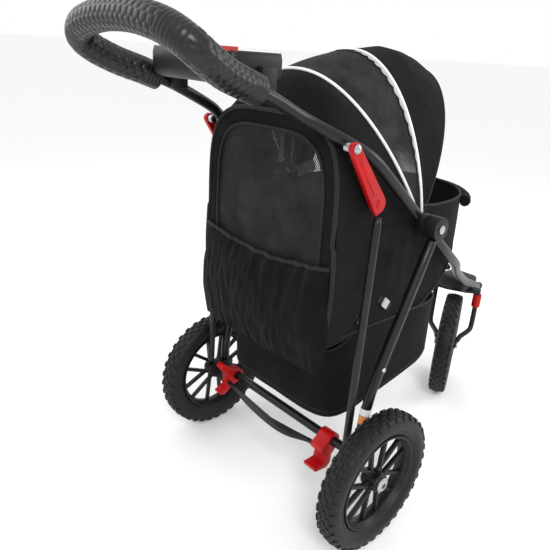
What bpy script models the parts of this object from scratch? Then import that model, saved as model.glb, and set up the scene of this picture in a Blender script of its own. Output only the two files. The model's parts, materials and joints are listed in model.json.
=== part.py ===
"""Three-wheel pet stroller: folding tube frame, fabric cabin, canopy, basket and parent tray.

Metres, +Z up, front towards -Y. Lengths along Y are measured from the rear axle, and one root empty
carries everything to its place.
"""

import math

import bmesh
import bpy
from mathutils import Vector

# Overall layout
REAR_AXLE_Y = 0.1932
HINGE_Y = -0.160
HINGE_Z = 0.650
AXLE_TUBE_Z = 0.178
SWIVEL_Y = -0.715
CASTER_ANGLE = math.radians(26.0)
CASTER_TRAIL = 0.065

# Wheels
WHEEL_RADIUS = 0.1525
TYRE_WIDTH = 0.050
TYRE_DEPTH = 0.046
WHEEL_X = 0.2735
RIM_WIDTH = 0.036
RIM_DEPTH = 0.012
SPOKE_THICKNESS = 0.012
SPOKE_PAIRS = 6
HUB_RADIUS = 0.020
HUB_WIDTH = 0.042
AXLE_RADIUS = 0.006
HUB_CAP_RADIUS = 0.016
HUB_CAP_THICKNESS = 0.005

# Frame
TUBE_RADIUS = 0.0105
FRAME_X = 0.200
LEG_X = 0.2265
STRUT_RADIUS = 0.008
STRUT_TOP = (0.035, 0.700)
LEG_KNEE = (-0.035, 0.378)
PLATE_THICKNESS = 0.008
HINGE_DISC_RADIUS = 0.024
HINGE_ARM = 0.040
PIN_RADIUS = 0.005
PIN_HEAD_RADIUS = 0.009
PIN_HEAD_THICKNESS = 0.0022
BRACKET_THICKNESS = 0.020
NOSE_HALF_WIDTH = 0.044
NOSE_BOTTOM = 0.318
NOSE_TOP = 0.358

# Handle
HANDLE_TOP_Z = 0.993
HANDLE_END_Y = 0.389
ARM_HALF_SPACING = 0.138
HANDLE_HEADING = math.radians(37.0)
GRIP_RADIUS = 0.0235
GRIP_CLEARANCE = 0.001
LEVER_THICKNESS = 0.010
LEVER_TOP = (0.084, 0.817)
LEVER_FOOT = (0.004, 0.7145)
LEVER_INNER_X = 0.194
LEVER_SEAT_X = 0.1815
LEVER_TOP_RADIUS = 0.0105
LEVER_FOOT_RADIUS = 0.0175
BOLT_HEAD_RADIUS = 0.008
BOLT_HEAD_THICKNESS = 0.003

# Parent tray
TRAY_HALF_LENGTH = 0.112
TRAY_FRONT_Y = 0.164
TRAY_DEPTH = 0.110
TRAY_RIM_Z = 0.960
TRAY_HEIGHT = 0.055
TRAY_WALL = 0.003
CUP_RADIUS = 0.033
CUP_X = 0.074
CLIP_SIZE = (0.030, 0.052)
CLIP_GAP = 0.0012

# Cabin
CABIN_HALF_WIDTH = 0.175
CABIN_WALL = 0.002
CABIN_REAR_Y = 0.090
CABIN_BEND_Y = -0.250
CABIN_NOSE_LENGTH = 0.260
CABIN_FLOOR_Z = 0.450
CABIN_SIDE_Z = 0.645
CABIN_FRONT_Z = 0.678
SIDE_RISE_REAR = 0.053
SIDE_RISE_HINGE = 0.036
REAR_TOP_Z = 0.850
REAR_ARCH = 4.0
FLOOR_THICKNESS = 0.004
RAMP_START_Y = -0.220
RAMP_SLOPE = 0.62
PANEL_THICKNESS = 0.003
WINDOW_MARGIN = 0.024
WINDOW_BOTTOM_Z = 0.480
CUSHION_HEIGHT = 0.030
BUMPER_RADIUS = 0.013
POCKET_DEPTH = 0.036
POCKET_HALF_WIDTH = 0.180
POCKET_BOTTOM_Z = 0.395
POCKET_TOP_Z = 0.600

# Canopy
CANOPY_RADIUS = 0.334
CANOPY_HALF_WIDTH = 0.1853
CANOPY_SHEET = 0.0015
CANOPY_STEPS = (0.0, 0.0042, 0.0072)
CANOPY_ROOT = 0.045
CANOPY_ARCH = 2.5
FRONT_EDGE_ANGLE = 62.0
FRONT_HOOP_ANGLE = 98.0
REAR_HOOP_ANGLE = 125.0
HOOP_RADIUS = 0.0025

# Basket
BASKET_REAR_Y = 0.040
BASKET_FRONT_Y = -0.330
BASKET_REAR_BOTTOM_Z = 0.226
BASKET_FRONT_BOTTOM_Z = 0.285
BASKET_ACCESS_Z = 0.360
BASKET_WALL = 0.002

# Fork and brake
FORK_TUBE_RADIUS = 0.0075
FORK_HALF_WIDTH = 0.062
CROWN_THICKNESS = 0.010
BRAKE_BAR_RADIUS = 0.0055
BRAKE_BAR_Y = 0.050
BRAKE_BAR_Z = 0.160
BRAKE_SLEEVE_RADIUS = 0.018

# Fits
GAP = 0.0003
RUNNING_GAP = 0.0005
CIRCLE_STEPS = 24
WHEEL_STEPS = 36

COLOURS = {
    "frame_black": ((0.012, 0.012, 0.013), 0.35, 0.6),
    "plastic_black": ((0.014, 0.014, 0.015), 0.45, 0.0),
    "rubber_black": ((0.010, 0.010, 0.010), 0.75, 0.0),
    "fabric_black": ((0.010, 0.010, 0.011), 0.90, 0.0),
    "mesh_black": ((0.020, 0.020, 0.021), 0.85, 0.0),
    "foam_black": ((0.012, 0.012, 0.012), 0.65, 0.0),
    "lever_red": ((0.520, 0.004, 0.006), 0.35, 0.0),
    "steel": ((0.450, 0.450, 0.460), 0.30, 1.0),
    "cushion_grey": ((0.060, 0.060, 0.064), 0.95, 0.0),
}


def clear_scene():
    for item in list(bpy.data.objects):
        bpy.data.objects.remove(item, do_unlink=True)


clear_scene()
parts = bpy.data.collections.new("pet_stroller")
cutters = bpy.data.collections.new("cutters")
for collection in (parts, cutters):
    bpy.context.scene.collection.children.link(collection)


# ---------------------------------------------------------------- modelling helpers

def empty(name, location, parent=None, turn=0.0):
    marker = bpy.data.objects.new(name, None)
    marker.location = location
    marker.rotation_euler = (0.0, 0.0, turn)
    marker.parent = parent
    parts.objects.link(marker)
    return marker


def paint(thing, colour):
    tone, roughness, metallic = COLOURS[colour]
    material = bpy.data.materials.new(thing.name)
    material.use_nodes = True
    shader = material.node_tree.nodes["Principled BSDF"]
    shader.inputs["Base Color"].default_value = (*tone, 1.0)
    shader.inputs["Roughness"].default_value = roughness
    shader.inputs["Metallic"].default_value = metallic
    thing.data.materials.clear()
    thing.data.materials.append(material)
    return thing


def add(name, data, colour, parent, location=(0, 0, 0), rotation=(0, 0, 0)):
    thing = bpy.data.objects.new(name, data)
    thing.location = location
    thing.rotation_euler = rotation
    thing.parent = parent
    parts.objects.link(thing)
    return paint(thing, colour)


def rest_at(empty_object):
    """Place of an empty in the layout's own frame, before the root moves it."""
    place = Vector((0, 0, 0))
    while empty_object is not root:
        place += Vector(empty_object.location)
        empty_object = empty_object.parent
    return place


def smooth_path(points, steps=4):
    """A curve through the points, as a closely spaced list."""
    ends = [2 * Vector(points[0]) - Vector(points[1]), 2 * Vector(points[-1]) - Vector(points[-2])]
    line = [ends[0]] + [Vector(point) for point in points] + [ends[1]]
    path = []
    for start in range(1, len(line) - 2):
        before, here, after, beyond = line[start - 1:start + 3]
        for step in range(steps):
            t = step / steps
            path.append(0.5 * (2 * here + (after - before) * t
                               + (2 * before - 5 * here + 4 * after - beyond) * t ** 2
                               + (3 * here - before - 3 * after + beyond) * t ** 3))
    path.append(line[-2])
    return path


def mirrored(points):
    return [Vector((-point[0], point[1], point[2])) for point in points]


def tube_data(name, points, radius, caps=True, resolution=2):
    data = bpy.data.curves.new(name, "CURVE")
    data.dimensions = "3D"
    data.bevel_depth = radius
    data.bevel_resolution = resolution
    data.use_fill_caps = caps
    line = data.splines.new("POLY")
    line.points.add(len(points) - 1)
    for point, place in zip(line.points, points):
        point.co = (*place, 1.0)
    return data


def tube(name, points, radius, colour, parent, resolution=2):
    origin = rest_at(parent)
    local = [Vector(point) - origin for point in points]
    return add(name, tube_data(name, local, radius, resolution=resolution), colour, parent)


def to_mesh(thing):
    """Swap a curve object for a mesh object with welded caps."""
    name, parent = thing.name, thing.parent
    bpy.context.view_layer.update()
    graph = bpy.context.evaluated_depsgraph_get()
    mesh = bpy.data.meshes.new_from_object(thing.evaluated_get(graph))
    work = bmesh.new()
    work.from_mesh(mesh)
    bmesh.ops.remove_doubles(work, verts=work.verts, dist=0.00001)
    work.to_mesh(mesh)
    work.free()
    place, turn = Vector(thing.location), Vector(thing.rotation_euler)
    home = thing.users_collection[0]
    bpy.data.objects.remove(thing, do_unlink=True)
    result = bpy.data.objects.new(name, mesh)
    result.location, result.rotation_euler, result.parent = place, turn, parent
    home.objects.link(result)
    return result


def circle(centre, radius, steps=CIRCLE_STEPS):
    return [(centre[0] + radius * math.cos(2 * math.pi * i / steps),
             centre[1] + radius * math.sin(2 * math.pi * i / steps)) for i in range(steps)]


def arc(centre, radius, start, end, steps):
    """Points on an arc, angles in degrees."""
    return [(centre[0] + radius * math.cos(math.radians(start + (end - start) * i / steps)),
             centre[1] + radius * math.sin(math.radians(start + (end - start) * i / steps)))
            for i in range(steps + 1)]


def paddle(near, far, near_radius, far_radius, steps=10):
    """Outline of two circles and their common tangents."""
    near, far = Vector(near), Vector(far)
    heading = math.degrees(math.atan2(far.y - near.y, far.x - near.x))
    lean = math.degrees(math.asin((near_radius - far_radius) / (far - near).length))
    return (arc(far, far_radius, heading - 90 + lean, heading + 90 - lean, steps)
            + arc(near, near_radius, heading + 90 - lean, heading + 270 + lean, steps))


def outline_data(name, outlines, thickness):
    """Flat plate from closed outlines; outlines after the first are holes."""
    data = bpy.data.curves.new(name, "CURVE")
    data.dimensions = "2D"
    data.fill_mode = "BOTH"
    data.extrude = thickness / 2
    for outline in outlines:
        line = data.splines.new("POLY")
        line.points.add(len(outline) - 1)
        for point, place in zip(line.points, outline):
            point.co = (place[0], place[1], 0.0, 1.0)
        line.use_cyclic_u = True
    return data


FACING_X = (math.pi / 2, 0.0, math.pi / 2)
FACING_Y = (math.pi / 2, 0.0, 0.0)


def side_plate(name, outlines, inner_x, outer_x, colour, parent, pivot):
    """Plate across X; its outlines are (y, z) measured from the pivot."""
    origin = rest_at(parent)
    place = Vector(((inner_x + outer_x) / 2, pivot[0], pivot[1])) - origin
    data = outline_data(name, outlines, abs(outer_x - inner_x))
    return add(name, data, colour, parent, place, FACING_X)


def shade(mesh):
    mesh.shade_smooth()
    mesh.set_sharp_from_angle(angle=math.radians(40))


def turned(name, profile, colour, parent, location, rotation=(0, math.pi / 2, 0),
           steps=CIRCLE_STEPS, closed=False):
    """Profile of (radius, height) points run top to bottom, turned about the local Z axis."""
    mesh = bpy.data.meshes.new(name)
    work = bmesh.new()
    corners = [work.verts.new((radius, 0.0, height)) for radius, height in profile]
    pairs = list(zip(corners, corners[1:]))
    if closed:
        pairs.append((corners[-1], corners[0]))
    for pair in pairs:
        work.edges.new(pair)
    work.to_mesh(mesh)
    work.free()
    thing = add(name, mesh, colour, parent, Vector(location) - rest_at(parent), rotation)
    screw = thing.modifiers.new("turn", "SCREW")
    screw.steps = steps
    screw.render_steps = steps
    screw.use_merge_vertices = True
    screw.merge_threshold = 0.00001
    screw.use_normal_calculate = False
    return thing


def solid_rod(name, stations, colour, parent, location, rotation=(0, math.pi / 2, 0),
              steps=CIRCLE_STEPS):
    """Turned solid closed on its axis, from (radius, height) stations run top to bottom."""
    profile = [(0.0, stations[0][1])] + list(stations) + [(0.0, stations[-1][1])]
    return turned(name, profile, colour, parent, location, rotation, steps)


def ring(name, inner, outer, bottom, top, colour, parent, location, rotation=(0, math.pi / 2, 0),
         steps=CIRCLE_STEPS):
    profile = [(outer, top), (outer, bottom), (inner, bottom), (inner, top)]
    return turned(name, profile, colour, parent, location, rotation, steps, closed=True)


def block(name, size, centre, colour, parent, bevel=0.0, segments=2):
    mesh = bpy.data.meshes.new(name)
    work = bmesh.new()
    bmesh.ops.create_cube(work, size=1.0)
    bmesh.ops.scale(work, vec=size, verts=work.verts)
    work.to_mesh(mesh)
    work.free()
    thing = add(name, mesh, colour, parent, Vector(centre) - rest_at(parent))
    if bevel:
        rounding = thing.modifiers.new("rounding", "BEVEL")
        rounding.width = bevel
        rounding.segments = segments
    return thing


def sheet(name, rows, thickness, colour, parent):
    """Cloth or board: a surface lofted through rows of points, then thickened both ways."""
    origin = rest_at(parent)
    mesh = bpy.data.meshes.new(name)
    work = bmesh.new()
    grid = [[work.verts.new(Vector(point) - origin) for point in row] for row in rows]
    for low, high in zip(grid, grid[1:]):
        for i in range(len(low) - 1):
            work.faces.new((low[i], low[i + 1], high[i + 1], high[i]))
    work.to_mesh(mesh)
    work.free()
    thing = add(name, mesh, colour, parent)
    wall = thing.modifiers.new("cloth", "SOLIDIFY")
    wall.thickness = thickness
    wall.offset = 0.0
    wall.use_even_offset = True
    return thing


def join_solids(base, others, operation):
    """Boolean the other mesh objects into the base, and keep them as hidden cutters."""
    for other in others:
        step = base.modifiers.new(operation.lower(), "BOOLEAN")
        step.operation = operation
        step.solver = "EXACT"
        step.object = other
        other.hide_render = True
        other.display_type = "WIRE"
        parts.objects.unlink(other)
        cutters.objects.link(other)


# ---------------------------------------------------------------- joint empties

root = empty("root", (0, REAR_AXLE_Y, 0))
hinge = (0, HINGE_Y, HINGE_Z)
handle_frame = empty("handle_frame", hinge, root)
rear_legs = empty("rear_legs", hinge, root)
canopy_front = empty("canopy_front", hinge, root)
brake = empty("brake", (0, -HINGE_Y, AXLE_TUBE_Z - HINGE_Z), rear_legs)
caster = empty("caster", (0, SWIVEL_Y, WHEEL_RADIUS), root, CASTER_ANGLE)
sides = (("left", 1), ("right", -1))


# ---------------------------------------------------------------- root frame

hinge_inner_x = FRAME_X - TUBE_RADIUS
hinge_outer_x = LEG_X + TUBE_RADIUS
front_heading = math.atan2(-0.070, -0.090)
leg_heading = math.atan2(LEG_KNEE[1] - HINGE_Z, LEG_KNEE[0] - HINGE_Y)


def from_hinge(x, heading, reach):
    return (x, HINGE_Y + reach * math.cos(heading), HINGE_Z + reach * math.sin(heading))


def hinge_outline(heading, reach):
    tip_radius = TUBE_RADIUS * 0.9
    tip = ((reach - tip_radius) * math.cos(heading), (reach - tip_radius) * math.sin(heading))
    return paddle((0, 0), tip, HINGE_DISC_RADIUS, tip_radius)


pin_hole = circle((0, 0), PIN_RADIUS + GAP, 16)[::-1]


def make_front_tubes():
    nose_x = NOSE_HALF_WIDTH + TUBE_RADIUS + 0.0015
    nose_z = NOSE_BOTTOM + TUBE_RADIUS + 0.003
    route = [from_hinge(FRAME_X, front_heading, HINGE_ARM + GAP), (FRAME_X, -0.258, 0.574),
             (0.186, -0.330, 0.530), (0.164, -0.378, 0.502), (0.120, -0.470, 0.456),
             (0.080, -0.600, 0.387), (nose_x, SWIVEL_Y - 0.020, nose_z)]
    path = smooth_path(route)
    for side, sign in sides:
        run = path if sign > 0 else mirrored(path)
        tube("front_tube_" + side, run, TUBE_RADIUS, "frame_black", root)


def make_hinges():
    plate_outer = hinge_inner_x + PLATE_THICKNESS
    knuckle_inner = plate_outer + RUNNING_GAP
    knuckle_outer = FRAME_X + TUBE_RADIUS
    for side, sign in sides:
        side_plate("hinge_plate_" + side, [hinge_outline(front_heading, HINGE_ARM), pin_hole],
                   sign * hinge_inner_x, sign * plate_outer, "plastic_black", root, hinge[1:])
        side_plate("handle_knuckle_" + side, [hinge_outline(HANDLE_HEADING, HINGE_ARM), pin_hole],
                   sign * knuckle_inner, sign * knuckle_outer, "plastic_black", handle_frame, hinge[1:])
        side_plate("leg_knuckle_" + side, [circle((0, 0), HINGE_DISC_RADIUS), pin_hole],
                   sign * (knuckle_outer + RUNNING_GAP), sign * hinge_outer_x, "plastic_black",
                   rear_legs, hinge[1:])
        head = hinge_outer_x + RUNNING_GAP
        tail = hinge_inner_x - GAP
        stations = [(PIN_HEAD_RADIUS, head + PIN_HEAD_THICKNESS), (PIN_HEAD_RADIUS, head),
                    (PIN_RADIUS, head), (PIN_RADIUS, tail), (PIN_HEAD_RADIUS, tail),
                    (PIN_HEAD_RADIUS, tail - PIN_HEAD_THICKNESS)]
        solid_rod("hinge_pin_" + side, stations, "steel", root, hinge,
                  (0, sign * math.pi / 2, 0), steps=16)


def make_nose():
    middle = (NOSE_BOTTOM + NOSE_TOP) / 2
    block("nose_housing", (2 * NOSE_HALF_WIDTH, 0.088, NOSE_TOP - NOSE_BOTTOM),
          (0, SWIVEL_Y + 0.008, middle), "plastic_black", root, bevel=0.012)


def make_cross_bar():
    half_length = 0.1215
    tube("front_cross_bar", [(-half_length, -0.425, 0.478), (half_length, -0.425, 0.478)],
         TUBE_RADIUS * 0.8, "frame_black", root)


# ---------------------------------------------------------------- cabin

def floor_z(y):
    return CABIN_FLOOR_Z + max(0.0, RAMP_START_Y - y) * RAMP_SLOPE


def plan_half_width(y):
    """Half width of the cabin: straight sides, then half an ellipse to the front."""
    forward = max(0.0, CABIN_BEND_Y - y) / CABIN_NOSE_LENGTH
    return CABIN_HALF_WIDTH * math.sqrt(max(0.0, 1 - forward ** 2))


def arch_share(t, power):
    """Across and rise, each 0 to 1, of a squared-off arch at angle t."""
    across = math.copysign(abs(math.cos(t)) ** (2 / power), math.cos(t))
    return across, math.sin(t) ** (2 / power)


def rear_outline(half_width, bottom, top, waist):
    """Panel with straight sides up to the waist and an arched top."""
    arch = []
    for i in range(21):
        t = math.pi * i / 20
        across, rise = arch_share(t, REAR_ARCH)
        arch.append((half_width * across, waist + (top - waist) * rise))
    return [(-half_width, bottom), (half_width, bottom)] + arch


def make_cabin():
    rear_face = CABIN_REAR_Y - PANEL_THICKNESS / 2
    wall_end = rear_face - GAP
    under = CABIN_FLOOR_Z - FLOOR_THICKNESS
    corner = CABIN_FRONT_Z - CABIN_SIDE_Z
    outline = [(wall_end, under), (wall_end, CABIN_SIDE_Z + SIDE_RISE_REAR),
               (HINGE_Y + 0.028, CABIN_SIDE_Z + SIDE_RISE_HINGE),
               (HINGE_Y + 0.004, CABIN_SIDE_Z + SIDE_RISE_HINGE), (HINGE_Y - 0.030, CABIN_SIDE_Z),
               (HINGE_Y - 0.030 - corner, CABIN_FRONT_Z), (CABIN_BEND_Y, CABIN_FRONT_Z),
               (CABIN_BEND_Y, floor_z(CABIN_BEND_Y) - FLOOR_THICKNESS), (RAMP_START_Y, under)]
    for side, sign in sides:
        inner = CABIN_HALF_WIDTH - CABIN_WALL / 2
        side_plate("cabin_side_" + side, [outline[::-1]], sign * inner, sign * (inner + CABIN_WALL),
                   "fabric_black", root, (0, 0))

    waist = CABIN_SIDE_Z
    opening = rear_outline(CABIN_HALF_WIDTH - WINDOW_MARGIN, WINDOW_BOTTOM_Z,
                           REAR_TOP_Z - WINDOW_MARGIN, waist)
    panel = outline_data("cabin_rear_panel", [rear_outline(CABIN_HALF_WIDTH, under, REAR_TOP_Z, waist),
                                              opening[::-1]], PANEL_THICKNESS)
    add("cabin_rear_panel", panel, "fabric_black", root, (0, CABIN_REAR_Y, 0), FACING_Y)
    inset = WINDOW_MARGIN + GAP
    mesh_outline = rear_outline(CABIN_HALF_WIDTH - inset, WINDOW_BOTTOM_Z + GAP, REAR_TOP_Z - inset, waist)
    add("rear_window_mesh", outline_data("rear_window_mesh", [mesh_outline], 0.001), "mesh_black",
        root, (0, CABIN_REAR_Y, 0), FACING_Y)

    lower, upper = [], []
    for i in range(25):
        t = math.pi * (i / 24 - 0.5) * 0.995
        y = CABIN_BEND_Y - RUNNING_GAP - CABIN_NOSE_LENGTH * math.cos(t)
        x = CABIN_HALF_WIDTH * math.sin(t)
        lower.append((x, y, floor_z(y) - FLOOR_THICKNESS))
        upper.append((x, y, CABIN_FRONT_Z))
    sheet("cabin_front_panel", [lower, upper], CABIN_WALL, "fabric_black", root)

    rows = []
    stops = [rear_face - GAP - 0.0005, 0.0, RAMP_START_Y, -0.26, -0.33, -0.39, -0.44, -0.47]
    for y in stops:
        half = plan_half_width(y - 0.002) - CABIN_WALL / 2 - 0.0015
        height = floor_z(y) - FLOOR_THICKNESS / 2
        rows.append([(-half, y, height), (half, y, height)])
    sheet("cabin_floor", rows, FLOOR_THICKNESS, "plastic_black", root)

    cushion_rear = rear_face - 0.006
    cushion_length = cushion_rear - RAMP_START_Y - 0.006
    block("cabin_cushion", (2 * CABIN_HALF_WIDTH - 0.030, cushion_length, CUSHION_HEIGHT),
          (0, cushion_rear - cushion_length / 2, CABIN_FLOOR_Z + GAP + CUSHION_HEIGHT / 2),
          "cushion_grey", root, bevel=0.010)

    pocket_front = CABIN_REAR_Y + PANEL_THICKNESS / 2 + GAP
    block("rear_pocket", (2 * POCKET_HALF_WIDTH, POCKET_DEPTH, POCKET_TOP_Z - POCKET_BOTTOM_Z),
          (0, pocket_front + POCKET_DEPTH / 2, (POCKET_TOP_Z + POCKET_BOTTOM_Z) / 2),
          "fabric_black", root, bevel=0.014, segments=3)

    path = []
    offset = CABIN_WALL / 2 + BUMPER_RADIUS + GAP
    for i in range(17):
        t = math.radians(-60 + 120 * i / 16)
        out = Vector((math.sin(t) / CABIN_HALF_WIDTH, -math.cos(t) / CABIN_NOSE_LENGTH)).normalized()
        path.append((CABIN_HALF_WIDTH * math.sin(t) + out.x * offset,
                     CABIN_BEND_Y - CABIN_NOSE_LENGTH * math.cos(t) + out.y * offset - RUNNING_GAP,
                     CABIN_FRONT_Z - BUMPER_RADIUS))
    tube("front_bumper_pad", path, BUMPER_RADIUS, "fabric_black", root)


def make_basket():
    """Open-topped fabric basket, low at the rear for access."""
    mesh = bpy.data.meshes.new("basket")
    top = CABIN_FLOOR_Z - FLOOR_THICKNESS - GAP
    work = bmesh.new()

    def station(sign):
        wide = sign * CABIN_HALF_WIDTH
        places = [(wide, BASKET_REAR_Y, BASKET_REAR_BOTTOM_Z), (wide, BASKET_FRONT_Y, BASKET_FRONT_BOTTOM_Z),
                  (wide, BASKET_FRONT_Y, top), (wide, BASKET_REAR_Y - 0.045, top),
                  (wide, BASKET_REAR_Y, BASKET_ACCESS_Z)]
        return [work.verts.new(place) for place in places]

    left, right = station(1), station(-1)
    work.faces.new(left)
    work.faces.new(right[::-1])
    for a, b in ((0, 1), (1, 2), (4, 0)):
        work.faces.new((left[b], left[a], right[a], right[b]))
    bmesh.ops.recalc_face_normals(work, faces=work.faces)
    work.to_mesh(mesh)
    work.free()
    thing = add("basket", mesh, "fabric_black", root)
    rounding = thing.modifiers.new("rounding", "BEVEL")
    rounding.width = 0.030
    rounding.segments = 3
    wall = thing.modifiers.new("cloth", "SOLIDIFY")
    wall.thickness = BASKET_WALL
    wall.offset = 0.0


# ---------------------------------------------------------------- canopy

def arch(angle, radius, half_width, root_radius, steps=22):
    """Hoop outline about the hinge axis at an angle up from straight ahead."""
    tilt = math.radians(angle)
    lowest = math.asin((root_radius / radius) ** (CANOPY_ARCH / 2))
    points = []
    for i in range(steps + 1):
        t = lowest + (math.pi - 2 * lowest) * i / steps
        across, rise = arch_share(t, CANOPY_ARCH)
        points.append((half_width * across, HINGE_Y - radius * rise * math.cos(tilt),
                       HINGE_Z + radius * rise * math.sin(tilt)))
    return points


def make_hoop(name, angle, radius, half_width, parent):
    """Rod just ahead of a section's front edge, a little inside its cloth."""
    tilt = math.radians(angle)
    ahead = HOOP_RADIUS + GAP
    shift = Vector((0, -ahead * math.sin(tilt), -ahead * math.cos(tilt)))
    path = arch(angle, radius - HOOP_RADIUS, half_width - HOOP_RADIUS, CANOPY_ROOT - 0.010)
    tube(name, [Vector(point) + shift for point in path], HOOP_RADIUS, "plastic_black", parent)


def make_canopy():
    def level(number):
        return CANOPY_RADIUS - CANOPY_STEPS[number], CANOPY_HALF_WIDTH - CANOPY_STEPS[number]

    radius, half_width = level(0)
    steps = 6
    sweep = [FRONT_EDGE_ANGLE + (FRONT_HOOP_ANGLE - FRONT_EDGE_ANGLE) * i / steps for i in range(steps + 1)]
    sheet("canopy_front_section", [arch(angle, radius, half_width, CANOPY_ROOT) for angle in sweep],
          CANOPY_SHEET, "fabric_black", canopy_front)
    make_hoop("canopy_front_hoop", FRONT_EDGE_ANGLE, radius, half_width, canopy_front)

    radius, half_width = level(1)
    steps = 3
    start = FRONT_HOOP_ANGLE + 0.5
    sweep = [start + (REAR_HOOP_ANGLE - start) * i / steps for i in range(steps + 1)]
    sheet("canopy_mesh_section", [arch(angle, radius, half_width, CANOPY_ROOT) for angle in sweep],
          CANOPY_SHEET, "mesh_black", root)

    radius, half_width = level(2)
    rear_plane = CABIN_REAR_Y - PANEL_THICKNESS / 2 - GAP - CANOPY_SHEET / 2
    first = arch(REAR_HOOP_ANGLE + 0.5, radius, half_width, CANOPY_ROOT)
    last = []
    for x, y, z in first:
        t = math.acos(math.copysign((abs(x) / half_width) ** (CANOPY_ARCH / 2), x))
        across, rise = arch_share(t, REAR_ARCH)
        last.append(((CABIN_HALF_WIDTH - 0.0005) * across, rear_plane,
                     CABIN_SIDE_Z + (REAR_TOP_Z - CABIN_SIDE_Z) * rise))
    rows = []
    for i in range(5):
        share = i / 4
        bulge = math.sin(math.pi * share) * 0.012
        rows.append([Vector(a).lerp(Vector(b), share) + Vector((0, 0, bulge * (a[2] - HINGE_Z) / radius))
                     for a, b in zip(first, last)])
    sheet("canopy_rear_section", rows, CANOPY_SHEET, "fabric_black", root)


# ---------------------------------------------------------------- handle

def make_handle():
    start = from_hinge(FRAME_X, HANDLE_HEADING, HINGE_ARM + GAP)
    near = ARM_HALF_SPACING
    arm = [start, (FRAME_X, -0.050, 0.735), (FRAME_X - 0.0015, 0.000, 0.775), (0.192, 0.035, 0.801),
           (0.170, 0.075, 0.8245), (near + 0.011, 0.110, 0.8435), (near, 0.150, 0.8615),
           (near, 0.200, 0.8850), (near, 0.240, 0.9005)]
    loop = [(near + 0.0025, 0.275, 0.9125), (near + 0.012, 0.315, 0.926),
            (near + 0.022, HANDLE_END_Y - 0.037, 0.944), (near + 0.016, HANDLE_END_Y - 0.015, 0.961),
            (0.118, HANDLE_END_Y - 0.003, HANDLE_TOP_Z - 0.014),
            (0.060, HANDLE_END_Y, HANDLE_TOP_Z - 0.003), (0.0, HANDLE_END_Y, HANDLE_TOP_Z)]
    half = smooth_path(arm + loop, 3)
    path = half + mirrored(half[:-1])[::-1]
    tube("handle_tube", path, TUBE_RADIUS, "frame_black", handle_frame)

    first = 3 * (len(arm) - 1)
    covered = path[first:len(path) - first]
    origin = rest_at(handle_frame)
    local = [point - origin for point in covered]
    sleeve = add("handle_grip", tube_data("handle_grip", local, GRIP_RADIUS, caps=False, resolution=4),
                 "foam_black", handle_frame)
    sleeve = paint(to_mesh(sleeve), "foam_black")
    wall = sleeve.modifiers.new("foam", "SOLIDIFY")
    bore = (TUBE_RADIUS + GRIP_CLEARANCE) / math.cos(math.pi / 12)
    wall.thickness = GRIP_RADIUS - bore
    wall.offset = -1.0
    wall.use_even_offset = True


def make_fold_levers():
    lever_inner = LEVER_INNER_X
    lever_outer = lever_inner + LEVER_THICKNESS
    foot = (LEVER_FOOT[0] - LEVER_TOP[0], LEVER_FOOT[1] - LEVER_TOP[1])
    outline = paddle((0, 0), foot, LEVER_TOP_RADIUS, LEVER_FOOT_RADIUS, 8)
    for side, sign in sides:
        pivot = empty("fold_lever_pivot_" + side, (0, LEVER_TOP[0] - HINGE_Y, LEVER_TOP[1] - HINGE_Z),
                      handle_frame)
        side_plate("fold_lever_" + side, [outline, pin_hole], sign * lever_inner, sign * lever_outer,
                   "lever_red", pivot, LEVER_TOP)
        head = lever_outer + GAP
        wide = BOLT_HEAD_RADIUS
        stations = [(wide, head + BOLT_HEAD_THICKNESS), (wide, head), (PIN_RADIUS, head),
                    (PIN_RADIUS, lever_inner - GAP), (wide, lever_inner - GAP), (wide, LEVER_SEAT_X)]
        solid_rod("fold_lever_bolt_" + side, stations, "steel", handle_frame,
                  (0, LEVER_TOP[0], LEVER_TOP[1]), (0, sign * math.pi / 2, 0), steps=16)


def make_tray():
    """Tray with a bin in the middle and a round cup well at each end."""
    centre_y = TRAY_FRONT_Y + TRAY_DEPTH / 2
    middle_z = TRAY_RIM_Z - TRAY_HEIGHT / 2
    body = block("parent_tray", (2 * TRAY_HALF_LENGTH, TRAY_DEPTH, TRAY_HEIGHT), (0, centre_y, middle_z),
                 "plastic_black", handle_frame, bevel=0.016, segments=3)
    depth = TRAY_HEIGHT - TRAY_WALL
    bin_half = CUP_X - CUP_RADIUS - TRAY_WALL
    tools = []
    hollow = block("tray_bin_cutter", (2 * bin_half, TRAY_DEPTH - 2 * TRAY_WALL - 0.010, 2 * depth),
                   (0, centre_y, TRAY_RIM_Z), "plastic_black", handle_frame, bevel=0.006)
    tools.append(hollow)
    for side, sign in sides:
        well = [(CUP_RADIUS, depth), (CUP_RADIUS, -depth)]
        tools.append(solid_rod("tray_cup_cutter_" + side, well, "plastic_black", handle_frame,
                               (sign * CUP_X, centre_y, TRAY_RIM_Z), (0, 0, 0)))
    join_solids(body, tools, "DIFFERENCE")
    for side, sign in sides:
        inner = TRAY_HALF_LENGTH + GAP
        outer = ARM_HALF_SPACING - TUBE_RADIUS - CLIP_GAP
        block("tray_clip_" + side, (outer - inner, *CLIP_SIZE),
              (sign * (inner + outer) / 2, TRAY_FRONT_Y + 0.045, TRAY_RIM_Z - 0.052),
              "plastic_black", handle_frame, bevel=0.002)


# ---------------------------------------------------------------- rear legs, axle and brake

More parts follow.
